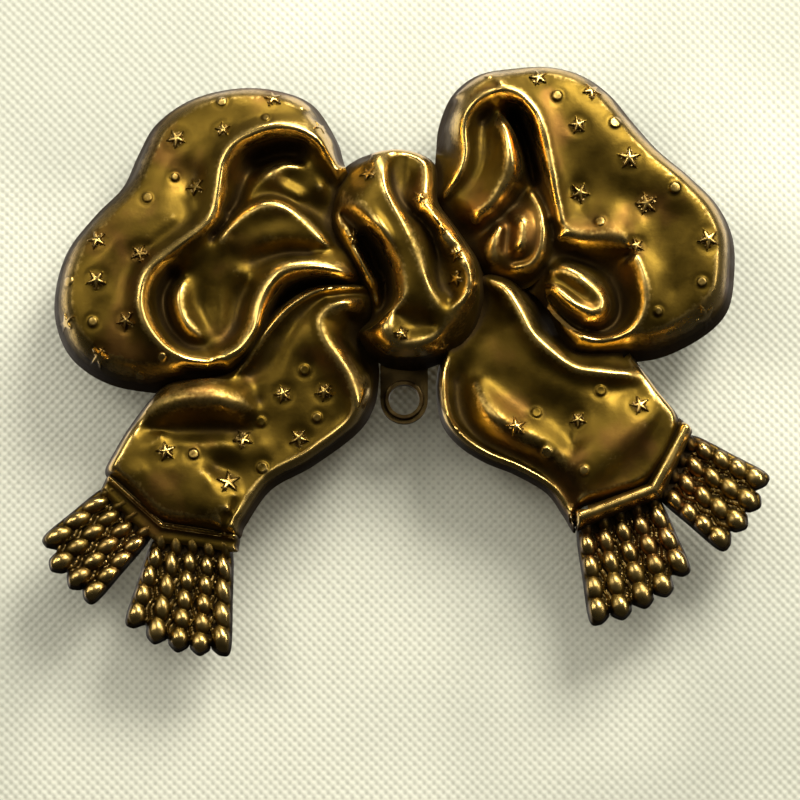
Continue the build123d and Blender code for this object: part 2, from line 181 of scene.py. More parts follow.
def star_edge(angle):
    """How far a star's edge is from its middle, angle being measured from the nearest point."""
    half = math.pi / 5
    inner = STAR_INNER * math.sin(half)
    return inner / (inner * np.cos(angle) + (1 - STAR_INNER * math.cos(half)) * np.sin(angle))


def stamp_places(stars, dots):
    """Frame places and radii of stars and dots."""
    return [(to_frame([(x, z, STAMP_LEVEL)])[0, :2], size) for x, z, size, *_ in (*stars, *dots)]


def star_relief(points, stars, dots):
    """Height added by raised five-point stars and dots, each in a shallow sunken halo."""
    added = np.zeros(len(points))
    for (place, size), (_, _, _, turn) in zip(stamp_places(stars, ()), stars):
        gap = points[:, :2] - place
        near = (np.abs(gap) < 2.4 * size).all(axis=1)
        reach = np.hypot(gap[near, 0], gap[near, 1]) / size
        angle = (np.arctan2(gap[near, 0], gap[near, 1]) + turn) % STAR_TURN
        angle = np.minimum(angle, STAR_TURN - angle)
        share = np.clip((star_edge(angle) - reach) / STAR_BEVEL, 0, 1)
        facet = np.clip(1 - reach / star_edge(angle), 0, 1)
        halo = np.exp(-((reach - 0.85) / 0.45) ** 2)
        added[near] += (STAR_HEIGHT + HALO_DEPTH) * share + FACET_HEIGHT * facet - HALO_DEPTH * halo
    for place, size in stamp_places((), dots):
        gap = points[:, :2] - place
        reach = np.hypot(gap[:, 0], gap[:, 1]) / size
        near = reach < 3
        bump = np.clip((1 - reach[near]) / DOT_BEVEL, 0, 1)
        halo = np.exp(-((reach[near] - 1.3) / 0.4) ** 2)
        added[near] += DOT_HEIGHT * bump * bump * (3 - 2 * bump) - DOT_HALO * halo
    return added


# ---- meshes -------------------------------------------------------------------------------------------

def loop_distance(points, loop):
    """Distance from each point to a closed loop, and the loop's third value at the nearest place."""
    distance = np.empty(len(points))
    value = np.empty(len(points))
    ends = np.roll(loop, -1, axis=0)
    for part in np.array_split(np.arange(len(points)), max(1, len(points) // 3000)):
        near = ((points[part, None, :2] - loop[None, :, :2]) ** 2).sum(axis=2).argmin(axis=1)
        best = np.full(len(part), np.inf)
        rim = np.zeros(len(part))
        for shift in (-1, 0):
            a, b = loop[(near + shift) % len(loop)], ends[(near + shift) % len(loop)]
            run = b[:, :2] - a[:, :2]
            t = ((points[part, :2] - a[:, :2]) * run).sum(axis=1) / ((run ** 2).sum(axis=1) + 1e-12)
            t = np.clip(t, 0, 1)
            gap = np.linalg.norm(points[part, :2] - a[:, :2] - run * t[:, None], axis=1)
            closer = gap < best
            best = np.where(closer, gap, best)
            rim = np.where(closer, a[:, 2] + (b[:, 2] - a[:, 2]) * t, rim)
        distance[part] = best
        value[part] = rim
    return distance, value


def inside_loop(points, loop):
    """Whether each point lies inside a closed loop, by counting crossings."""
    inside = np.zeros(len(points), bool)
    ends = np.roll(loop, -1, axis=0)
    for (ax, az), (bx, bz) in zip(loop[:, :2], ends[:, :2]):
        if az == bz:
            continue
        crosses = (az > points[:, 1]) != (bz > points[:, 1])
        inside ^= crosses & (points[:, 0] < (bx - ax) * (points[:, 1] - az) / (bz - az) + ax)
    return inside


def hexagonal(low, high, grid):
    """Evenly spaced points over a rectangle."""
    columns = np.arange(low[0], high[0], grid)
    rows = np.arange(low[1], high[1], grid * 0.866)
    return np.concatenate([np.stack([columns + (i % 2) * grid / 2, np.full(len(columns), z)], axis=1)
                           for i, z in enumerate(rows)])


def triangulate(loops, grid, stamps):
    """Points and triangles over the area inside loops[0] and outside the others, finer round the stamps."""
    fill = hexagonal(loops[0][:, :2].min(axis=0), loops[0][:, :2].max(axis=0), grid)
    for place, size in stamps:
        reach = STAMP_REACH * size
        finer = hexagonal(place - reach, place + reach, min(grid, STAMP_GRID))
        finer = finer[np.linalg.norm(finer - place, axis=1) < reach]
        fill = np.concatenate([fill[np.linalg.norm(fill - place, axis=1) > reach + grid / 3], finer])
    keep = inside_loop(fill, loops[0])
    for hole in loops[1:]:
        keep &= ~inside_loop(fill, hole)
    fill = fill[keep]
    for loop in loops:
        fill = fill[loop_distance(fill, loop)[0] > 0.55 * grid]
    points = [loop[:, :2] for loop in loops] + [fill]
    edges = []
    start = 0
    for loop in loops:
        edges += [(start + i, start + (i + 1) % len(loop)) for i in range(len(loop))]
        start += len(loop)
    points = np.concatenate(points)
    found = delaunay_2d_cdt([Vector(p) for p in points], edges, [], 0, 1e-6)
    places = np.array([tuple(v) for v in found[0]])
    faces = np.array([f for f in found[2] if len(f) == 3])
    middle = places[faces].mean(axis=1)
    keep = inside_loop(middle, loops[0])
    for hole in loops[1:]:
        keep &= ~inside_loop(middle, hole)
    faces = faces[keep]
    a, b, c = (places[faces[:, k]] for k in range(3))
    turned = np.cross(b - a, c - a) < 0
    faces[turned] = faces[turned][:, ::-1]
    used = np.unique(faces)
    renumber = np.full(len(places), -1)
    renumber[used] = np.arange(len(used))
    return places[used], renumber[faces]


def vertex_normals(places, faces):
    """Unit normals of a triangle mesh's points, weighted by area."""
    a, b, c = (places[faces[:, k]] for k in range(3))
    face_normals = np.cross(b - a, c - a)
    normals = np.zeros_like(places)
    for k in range(3):
        np.add.at(normals, faces[:, k], face_normals)
    return normals / (np.linalg.norm(normals, axis=1)[:, None] + 1e-12)


def thickened(front, faces, thickness):
    """A closed sheet: the front, a back set in by the thickness, and the rims between them."""
    normals = vertex_normals(front, faces)
    back = front - normals * thickness
    back[:, 1] = np.minimum(back[:, 1], -BASE)
    count = len(front)
    sides = np.concatenate([faces[:, [0, 1]], faces[:, [1, 2]], faces[:, [2, 0]]])
    keys = sides.min(axis=1) * count + sides.max(axis=1)
    unique, first, uses = np.unique(keys, return_index=True, return_counts=True)
    rim = sides[first[uses == 1]]
    strip = np.concatenate([
        np.stack([rim[:, 1], rim[:, 0], rim[:, 0] + count], axis=1),
        np.stack([rim[:, 1], rim[:, 0] + count, rim[:, 1] + count], axis=1),
    ])
    return np.concatenate([front, back]), np.concatenate([faces, faces[:, ::-1] + count, strip])


def mesh_object(name, places, faces):
    """A smooth-shaded object from millimetre places and triangles."""
    mesh = bpy.data.meshes.new(name)
    mesh.vertices.add(len(places))
    mesh.vertices.foreach_set("co", (places * MM).astype(np.float32).ravel())
    mesh.loops.add(faces.size)
    mesh.loops.foreach_set("vertex_index", faces.astype(np.int32).ravel())
    mesh.polygons.add(len(faces))
    mesh.polygons.foreach_set("loop_start", np.arange(0, faces.size, 3, dtype=np.int32))
    mesh.update(calc_edges=True)
    mesh.validate()
    mesh.polygons.foreach_set("use_smooth", np.ones(len(mesh.polygons), bool))
    mesh.set_sharp_from_angle(angle=SHARP)
    piece = bpy.data.objects.new(name, mesh)
    bpy.context.scene.collection.objects.link(piece)
    return piece


sheets = []                   # each sheet's object and the places of its front


def edge(rim, places):
    """An outline's points (x, z, rim height), where a point without a height lies at the given rim."""
    return [(*place, rim)[:3] for place in places]


def sheet(name, nodes, surface, outline, holes=(), wall=2.0, stars=(), dots=(), grid=GRID):
    """A struck sheet: surface(points) inside the outline, falling to the rim heights along its edges.

    outline and holes are drawn points (x, z, rim height). wall is how far in the fall begins."""
    loops = []
    for drawn in (outline, *holes):
        curve = smooth_curve(drawn, grid, closed=True)
        rims = curve[:, 2].clip(BASE, NO_WALL)
        shift = np.where(rims > FREE_ABOVE, FREE_EDGE, rims)
        placed = to_frame(np.stack([curve[:, 0], curve[:, 1], shift], axis=1))
        placed[:, 2] = rims
        loops.append(placed)
    flat, faces = triangulate(loops, grid, stamp_places(stars, dots))
    height = surface(flat)
    if len(stars) or len(dots):
        height = height + star_relief(flat, stars, dots)
    height = np.maximum(height, BASE)
    for loop in loops:
        distance, rim = loop_distance(flat, loop)
        rim = np.minimum(rim, height)
        near = np.clip(distance / wall, 0, 1)
        height = rim + (height - rim) * (1 - (1 - near) ** WALL_POWER)
    front = np.stack([flat[:, 0], -height, flat[:, 1]], axis=1)
    places, triangles = thickened(front, faces, SHEET)
    piece = mesh_object(name, places, triangles)
    sides = np.repeat((0, 1), (len(faces), len(triangles) - len(faces)))
    piece.data.polygons.foreach_set("material_index", sides)
    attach(piece, "bow")
    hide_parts(*nodes)
    sheets.append((piece, front))


# ---- left loop ----------------------------------------------------------------------------------------

left_relief = Relief([
    # the crest round the mouth, from the knot over the top and down to the left
    ([(-6.1, 16.0, 6.0), (-6.8, 18.2, 8.0), (-9.0, 20.2, 8.6), (-11.7, 20.6, 8.8), (-14.6, 19.5, 8.6),
      (-16.0, 17.7, 8.4), (-16.5, 15.0, 8.2), (-16.9, 13.2, 8.0), (-17.8, 11.9, 8.0), (-19.8, 10.3, 8.2),
      (-22.4, 8.2, 8.4), (-23.2, 5.8, 8.4), (-22.7, 3.5, 8.2), (-21.2, 1.5, 7.8), (-19.4, 0.5, 7.2),
      (-17.4, 0.2, 6.8)], ((-1.5, -1.3), (-0.5, -0.25), (0.0, 0.0), (0.45, -0.7))),
    # the dark groove along its inner side
    [(-7.7, 18.2, 5.8), (-9.8, 19.2, 5.6), (-12.2, 19.1, 5.4), (-14.0, 18.1, 5.1), (-14.7, 15.8, 5.0),
     (-15.7, 13.5, 5.1), (-17.3, 11.6, 5.4), (-20.0, 9.1, 5.2), (-21.3, 7.0, 4.6), (-21.6, 5.2, 4.4),
     (-20.8, 3.0, 4.4), (-19.3, 1.5, 4.7), (-17.6, 1.3, 5.0)],
    # the edge of the pit's floor, and the floor
    [(-19.4, 7.5, 5.4), (-20.2, 6.7, 5.6), (-20.4, 5.4, 5.8), (-20.0, 3.8, 5.8), (-19.2, 2.6, 5.7),
     (-18.2, 2.2, 5.4)],
    [(-18.6, 7.4, 5.3), (-18.7, 5.0, 5.0), (-17.6, 3.2, 4.9)],
    [(-16.8, 7.0, 5.3), (-16.2, 4.6, 4.9), (-16.4, 2.8, 4.8)],
    # the upper field, with a soft crease
    [(-14.1, 14.2, 5.7), (-13.3, 15.4, 5.8), (-12.4, 16.9, 5.9), (-10.5, 17.5, 6.0), (-8.7, 16.8, 6.0),
     (-7.6, 15.4, 5.9)],
    [(-11.6, 15.6, 6.1), (-9.6, 14.6, 6.0)],
    [(-10.5, 16.3, 5.8), (-8.6, 15.1, 5.7)],
    # the edge of the fold that overlaps it, and that fold's ridge
    ([(-16.8, 10.9, 6.0), (-15.5, 12.3, 6.5), (-13.9, 13.7, 6.8), (-12.4, 14.3, 6.9), (-10.8, 14.1, 6.9),
      (-9.2, 13.0, 6.8), (-7.6, 11.4, 6.6), (-6.9, 10.4, 6.5)], ((0.0, 0.0), (0.4, -0.9))),
    [(-15.3, 11.2, 6.6), (-13.6, 12.2, 7.0), (-11.2, 12.8, 7.2), (-9.4, 11.8, 7.2), (-7.6, 10.4, 6.9)],
    # the edge of the next fold, and the groove under it
    [(-15.4, 9.6, 5.9), (-14.2, 10.0, 6.2), (-12.4, 10.3, 6.4), (-10.5, 10.5, 6.5), (-8.3, 10.2, 6.5),
     (-6.4, 9.6, 6.4)],
    [(-13.7, 8.9, 5.3), (-12.4, 9.3, 5.4), (-10.7, 9.6, 5.6), (-8.6, 9.5, 6.0)],
    [(-16.0, 8.6, 5.7), (-14.8, 7.9, 5.7)],
    # the broad ridge from under the knot to the bottom of the mouth
    ([(-4.2, 7.7, 5.0), (-5.4, 8.1, 6.9), (-6.5, 8.4, 7.6), (-8.6, 8.6, 7.9), (-10.8, 8.2, 7.9),
      (-12.1, 7.0, 7.7), (-13.0, 5.2, 7.4), (-13.6, 3.0, 7.2), (-14.7, 1.4, 7.0),
      (-16.2, 0.5, 6.8)], ((-0.5, -0.4), (0.0, 0.0), (0.6, -0.4))),
    [(-13.9, 6.6, 5.3), (-14.4, 4.8, 5.0), (-14.9, 3.0, 4.9), (-16.0, 1.9, 5.0)],
    # the deep groove under that ridge
    [(-4.0, 6.4, 3.8), (-6.3, 6.7, 3.7), (-9.0, 6.8, 3.7), (-10.7, 6.0, 3.7), (-11.8, 4.4, 3.7),
     (-12.5, 2.6, 3.7), (-13.5, 0.6, 3.9), (-15.2, -0.9, 4.0)],
    # the ribbon's face round the mouth
    [(-7.2, 20.8, 6.6), (-9.8, 22.4, 6.9), (-13.0, 22.6, 7.0), (-16.4, 21.8, 6.7), (-19.2, 19.6, 6.2),
     (-20.6, 17.0, 5.9), (-22.0, 14.2, 6.2), (-24.2, 12.0, 6.9), (-26.6, 9.4, 6.9), (-27.6, 6.2, 6.6),
     (-27.2, 3.0, 6.4), (-25.0, 0.4, 6.0), (-21.8, -0.9, 5.6), (-18.4, -0.8, 5.2), (-16.0, -0.9, 4.6)],
    [(-18.4, 16.6, 5.9), (-19.0, 14.6, 6.1)],
    [(-20.4, 12.6, 6.9), (-22.6, 10.8, 7.1)],
    [(-5.8, 19.8, 5.0), (-8.4, 23.4, 5.6), (-12.8, 24.2, 5.8), (-18.0, 23.6, 5.6), (-22.0, 20.6, 5.2),
     (-24.0, 16.4, 5.0), (-27.8, 12.4, 5.6), (-30.4, 8.0, 5.6), (-30.6, 3.6, 5.4), (-28.4, 0.0, 5.0),
     (-24.4, -2.0, 4.8), (-20.0, -1.8, 4.4)],
    [(-5.0, 12.0, 4.6), (-5.2, 15.0, 4.6)],
])

LEFT_LOOP = edge(BASE, [
    (-4.9, 15.6, NO_WALL), (-5.6, 17.6, 3.0), (-6.3, 19.8), (-8.4, 22.9), (-11.6, 24.2), (-15.2, 24.4),
    (-19.2, 23.4), (-22.3, 21.2), (-23.9, 18.4), (-25.2, 15.6), (-27.6, 13.1), (-30.0, 10.0), (-31.1, 6.5),
    (-31.0, 3.2), (-29.5, 0.2), (-26.3, -1.9), (-21.9, -2.7), (-18.0, -2.6), (-15.0, -2.4, 3.0),
    (-12.4, -0.6, NO_WALL), (-10.0, 2.4, NO_WALL), (-6.0, 4.4, NO_WALL), (-3.0, 5.2, NO_WALL),
    (-2.4, 8.0, NO_WALL), (-3.6, 11.0, NO_WALL), (-4.4, 14.0, NO_WALL),
])
LEFT_MOUTH = edge(NO_WALL, [
    (-7.2, 16.6), (-9.1, 18.9), (-11.7, 19.7), (-13.8, 18.8), (-14.9, 16.9), (-15.5, 14.4), (-16.7, 12.4),
    (-18.4, 11.0), (-20.4, 9.5), (-22.1, 7.4), (-22.4, 5.1), (-21.8, 2.9), (-20.2, 1.4), (-18.2, 0.9),
    (-16.2, 1.6), (-14.4, 3.1), (-13.7, 5.4), (-13.1, 7.4), (-11.2, 9.0), (-8.6, 9.4), (-6.6, 9.6),
    (-6.6, 12.0), (-7.0, 14.6),
])
LEFT_PLEAT = edge(NO_WALL, [
    (-17.6, 10.6), (-16.1, 12.2), (-14.9, 13.2), (-13.4, 13.9), (-11.7, 14.1), (-10.2, 13.7), (-8.7, 12.5),
    (-7.6, 11.4), (-7.4, 10.4), (-9.8, 10.2), (-12.6, 10.3), (-14.6, 10.0), (-16.2, 9.4),
])
LEFT_STARS = [
    (-11.8, 23.2, 0.95, 0.2), (-20.3, 19.7, 1.0, 0.5), (-16.2, 20.3, 0.8, 0.1), (-7.5, 20.7, 0.9, 0.9),
    (-18.6, 15.4, 0.9, 0.4), (-27.2, 10.7, 1.0, 0.3), (-23.4, 9.4, 0.95, 0.8), (-27.2, 7.1, 1.05, 0.6),
    (-30.0, 3.7, 0.95, 0.1), (-24.6, 3.5, 0.95, 0.5), (-27.0, 0.6, 0.95, 0.7),
]
LEFT_DOTS = [
    (-16.3, 22.9, 0.5), (-9.0, 22.5, 0.5), (-12.4, 21.2, 0.4), (-22.8, 14.5, 0.55), (-20.4, 16.3, 0.4),
    (-29.7, 7.2, 0.5), (-27.5, 3.5, 0.5), (-23.4, -1.0, 0.45), (-21.4, 0.3, 0.4),
]

sheet("left_loop_ribbon", ["left_loop"], left_relief, LEFT_LOOP, [LEFT_MOUTH],
      stars=LEFT_STARS, dots=LEFT_DOTS)
sheet("left_loop_inner", ["left_loop_lining"], left_relief, LEFT_MOUTH, [LEFT_PLEAT])
sheet("left_loop_fold", ["left_loop_pleat"], left_relief, LEFT_PLEAT)


# ---- right loop ---------------------------------------------------------------------------------------

right_relief = Relief([
    # the left side of the upper mouth's rim, from its foot at the knot to the top
    ([(3.2, 14.6, 6.0), (4.5, 16.4, 6.9), (5.1, 18.4, 7.2), (5.0, 20.4, 7.4), (5.3, 22.0, 7.8),
      (6.4, 23.3, 8.1), (7.9, 23.9, 8.2)], ((0.5, -0.5), (0.0, 0.0), (-0.45, -0.6))),
    # and on over the top and down its right side
    ([(7.9, 23.9, 8.2), (9.8, 23.4, 8.2), (11.1, 22.0, 8.2), (11.7, 20.4, 8.2), (12.1, 18.6, 8.0),
      (12.5, 16.4, 7.8), (12.8, 14.6, 7.4), (13.3, 12.4, 7.1)], ((0.8, -0.3), (0.0, 0.0), (-0.35, -0.7))),
    [(12.6, 12.2, 5.6), (12.8, 10.6, 5.4), (12.4, 8.8, 5.0)],
    # the deep gap inside it
    [(7.8, 22.9, 4.6), (9.0, 22.6, 3.5), (10.0, 21.6, 3.0), (10.7, 20.0, 2.9), (11.0, 17.9, 3.1),
     (11.4, 16.0, 3.9)],
    # the lobe and the groove down it
    [(7.2, 22.0, 5.6), (8.2, 21.7, 6.4), (9.1, 20.4, 6.9), (9.7, 18.4, 7.0), (9.8, 16.6, 6.9),
     (8.9, 14.9, 6.8), (7.4, 13.3, 6.6), (6.0, 12.5, 6.2)],
    [(7.7, 20.8, 6.9), (8.1, 18.8, 7.5), (7.9, 16.8, 7.4), (7.1, 15.0, 7.1), (6.2, 13.8, 6.7)],
    [(6.4, 21.4, 5.4), (6.7, 19.2, 5.8), (6.4, 17.0, 5.9), (5.3, 15.2, 5.9), (4.6, 14.4, 5.8)],
    [(10.6, 15.7, 5.2), (9.9, 14.8, 5.2), (8.8, 13.6, 5.2), (7.6, 12.3, 5.0), (6.4, 11.5, 4.8),
     (5.0, 12.0, 4.4)],
    # the petal
    ([(11.0, 14.9, 5.8), (11.7, 13.4, 6.5), (11.9, 11.8, 6.8), (11.7, 10.0, 6.6), (10.9, 8.7, 6.1),
      (9.4, 8.3, 5.5)], ((-0.5, -0.2), (0.0, 0.0), (0.45, -0.6))),
    [(10.0, 12.4, 6.9), (9.7, 10.2, 6.8)],
    [(9.2, 13.0, 5.7), (8.8, 11.6, 5.5), (8.8, 10.0, 5.5)],
    [(8.0, 12.0, 6.0), (7.5, 10.6, 6.2), (7.3, 9.2, 5.8)],
    [(6.6, 7.9, 4.0), (8.6, 7.2, 3.9), (10.8, 7.3, 4.0), (12.1, 8.2, 4.5)],
    # the tongue, two ridges with a groove between
    [(12.4, 8.1, 5.4), (13.7, 8.7, 5.9), (15.4, 8.1, 6.2), (16.8, 6.9, 6.4), (17.5, 5.4, 6.4),
     (17.3, 4.1, 6.1), (16.5, 3.5, 5.8), (15.5, 3.5, 5.8)],
    [(13.5, 7.9, 6.4), (14.5, 7.2, 6.9), (15.6, 6.2, 7.0), (16.2, 5.1, 6.9)],
    [(12.8, 7.3, 5.8), (13.7, 6.8, 6.1), (14.7, 6.1, 6.4), (15.3, 5.5, 6.7)],
    [(12.5, 6.4, 6.0), (13.2, 5.7, 6.5), (14.2, 4.8, 6.8), (15.3, 4.1, 6.6)],
    # the groove round it
    [(12.9, 9.5, 4.9), (14.6, 9.5, 4.7), (16.5, 8.7, 4.4), (18.0, 7.1, 4.0), (18.5, 5.2, 3.9),
     (18.1, 3.6, 4.0), (16.6, 2.8, 4.2), (14.9, 3.2, 4.3), (13.0, 4.6, 4.4), (11.8, 5.9, 4.4)],
    # the fold above it, and the pit's right side
    ([(13.2, 11.0, 6.7), (14.6, 10.6, 6.8), (16.2, 10.3, 6.9), (18.0, 10.1, 7.0),
      (19.4, 10.0, 7.1)], ((0.0, 0.0), (-0.5, -1.2))),
    ([(19.4, 10.0, 7.1), (20.2, 8.6, 7.3), (20.7, 7.0, 7.4), (20.8, 5.2, 7.1), (20.1, 3.5, 6.6),
      (18.6, 2.3, 6.1), (16.6, 1.9, 5.9), (14.8, 2.5, 5.8), (13.2, 3.9, 5.6),
      (12.0, 5.4, 5.2)], ((0.6, -0.2), (0.0, 0.0), (-0.6, -0.8))),
    # the ribbon's face
    [(4.0, 24.0, 6.2), (7.0, 25.2, 6.8), (10.4, 25.2, 7.0), (13.6, 24.4, 7.2), (16.4, 22.8, 7.2),
     (18.4, 20.6, 7.2), (20.4, 18.2, 7.4), (23.0, 16.0, 7.4), (25.6, 13.4, 7.3), (27.0, 10.6, 7.1),
     (27.2, 7.6, 6.9), (26.6, 5.0, 6.6), (24.4, 3.2, 6.2), (21.6, 1.8, 5.6), (18.6, 1.2, 5.2),
     (16.2, 1.0, 4.8), (14.4, 1.8, 4.8)],
    [(14.6, 19.6, 7.4), (15.4, 17.0, 6.9), (15.6, 14.4, 6.4), (15.8, 12.6, 6.6)],
    [(19.0, 16.4, 7.3), (20.2, 13.8, 6.7), (20.6, 11.8, 6.8)],
    [(23.6, 12.4, 6.9), (23.8, 9.6, 6.9), (23.4, 6.4, 6.5)],
    [(3.2, 18.6, 4.6), (3.4, 21.6, 4.8), (4.6, 24.8, 5.2)],
    [(8.0, 26.4, 5.4), (13.0, 26.6, 5.8), (17.4, 25.0, 5.8), (20.6, 21.6, 5.8), (25.4, 17.2, 5.9),
     (28.4, 13.4, 5.8), (29.4, 9.6, 5.6), (28.8, 5.2, 5.4), (26.4, 2.4, 5.0), (22.6, 0.6, 4.4)],
    [(3.4, 12.2, 4.0), (5.0, 10.2, 3.8), (5.8, 8.6, 3.8)],
])

RIGHT_LOOP = edge(BASE, [
    (2.2, 16.6, NO_WALL), (2.5, 18.4, 3.6), (2.8, 21.0), (4.0, 23.8), (6.3, 25.6), (9.5, 26.2), (12.7, 26.3),
    (15.6, 25.5), (18.0, 23.8), (19.9, 21.5), (22.2, 18.9), (25.0, 16.5), (27.5, 13.9), (28.8, 11.0),
    (28.9, 7.6), (28.3, 4.6), (26.4, 2.5), (23.1, 0.7), (20.4, 0.1), (18.0, 0.2, 2.4), (15.8, 0.1, 2.4),
    (14.2, 0.6, 2.4), (13.3, 2.4, 2.6), (12.4, 4.4, 2.8), (11.1, 6.0, 3.0), (9.2, 6.8, 3.4),
    (7.6, 6.9, NO_WALL), (6.0, 7.6, NO_WALL), (4.4, 9.0, NO_WALL), (2.0, 12.6, NO_WALL),
])
RIGHT_UPPER_MOUTH = edge(NO_WALL, [
    (3.8, 14.2), (5.1, 15.6), (5.7, 17.6), (5.7, 19.4), (5.7, 21.2), (6.4, 22.5), (7.9, 23.3), (9.5, 22.9),
    (10.7, 21.7), (11.3, 20.0), (11.6, 18.2), (12.0, 16.2), (12.4, 14.4), (12.8, 12.6), (12.8, 10.6),
    (12.2, 8.4), (10.6, 6.9), (8.6, 6.9), (6.6, 7.7), (5.2, 9.8), (4.0, 12.0),
])
LOBE = edge(NO_WALL, [
    (6.3, 21.7), (7.4, 22.4), (8.8, 21.9), (9.8, 20.2), (10.3, 18.0), (10.3, 16.6), (9.3, 15.2), (8.0, 13.7),
    (6.4, 12.4), (4.8, 13.3), (5.6, 15.4), (6.2, 17.4), (6.2, 19.4),
])
PETAL = edge(NO_WALL, [
    (10.7, 15.4), (11.7, 14.4), (12.3, 12.7), (12.3, 10.8), (11.6, 9.0), (10.2, 7.8), (8.4, 7.7), (7.0, 8.5),
    (6.6, 10.2), (7.3, 12.0), (8.6, 13.3), (9.7, 14.5),
])
RIGHT_LOWER_MOUTH = edge(NO_WALL, [
    (13.1, 10.1), (15.0, 10.0), (17.0, 9.6), (18.8, 8.9), (19.7, 7.4), (19.9, 5.4), (19.2, 3.5), (17.6, 2.4),
    (15.6, 2.5), (13.7, 3.8), (12.3, 5.6), (12.1, 8.0),
])
TONGUE = edge(NO_WALL, [
    (12.6, 7.0), (12.8, 8.2), (13.6, 8.9), (15.1, 8.8), (16.9, 7.8), (18.0, 6.1), (18.0, 4.3), (16.7, 3.2),
    (15.0, 3.5), (13.5, 4.8), (12.7, 5.9),
])
RIGHT_STARS = [
    (11.5, 24.9, 0.95, 0.3), (16.2, 23.8, 1.0, 0.6), (14.9, 20.6, 0.9, 0.2), (19.4, 17.7, 1.15, 0.0),
    (15.1, 14.8, 1.0, 0.8), (20.9, 13.8, 1.1, 0.25), (26.3, 10.6, 1.1, 0.5), (20.0, 10.1, 0.8, 0.4),
    (26.2, 4.1, 1.1, 0.7),
]
RIGHT_DOTS = [
    (7.1, 25.2, 0.4), (13.1, 23.2, 0.55), (18.2, 20.9, 0.6), (23.4, 15.1, 0.6), (16.8, 12.2, 0.55),
    (25.7, 6.9, 0.5), (21.9, 4.4, 0.45),
]

sheet("right_loop_ribbon", ["right_loop"], right_relief, RIGHT_LOOP,
      [RIGHT_UPPER_MOUTH, RIGHT_LOWER_MOUTH], stars=RIGHT_STARS, dots=RIGHT_DOTS)
sheet("right_loop_upper_inner", ["right_loop_upper_lining"], right_relief, RIGHT_UPPER_MOUTH,
      [LOBE, PETAL])
sheet("right_loop_lobe_fold", ["right_loop_lobe"], right_relief, LOBE)
sheet("right_loop_petal_fold", ["right_loop_petal"], right_relief, PETAL)
sheet("right_loop_lower_inner", ["right_loop_lower_lining"], right_relief, RIGHT_LOWER_MOUTH,
      [TONGUE])
sheet("right_loop_tongue_fold", ["right_loop_tongue"], right_relief, TONGUE)


# ---- knot ---------------------------------------------------------------------------------------------

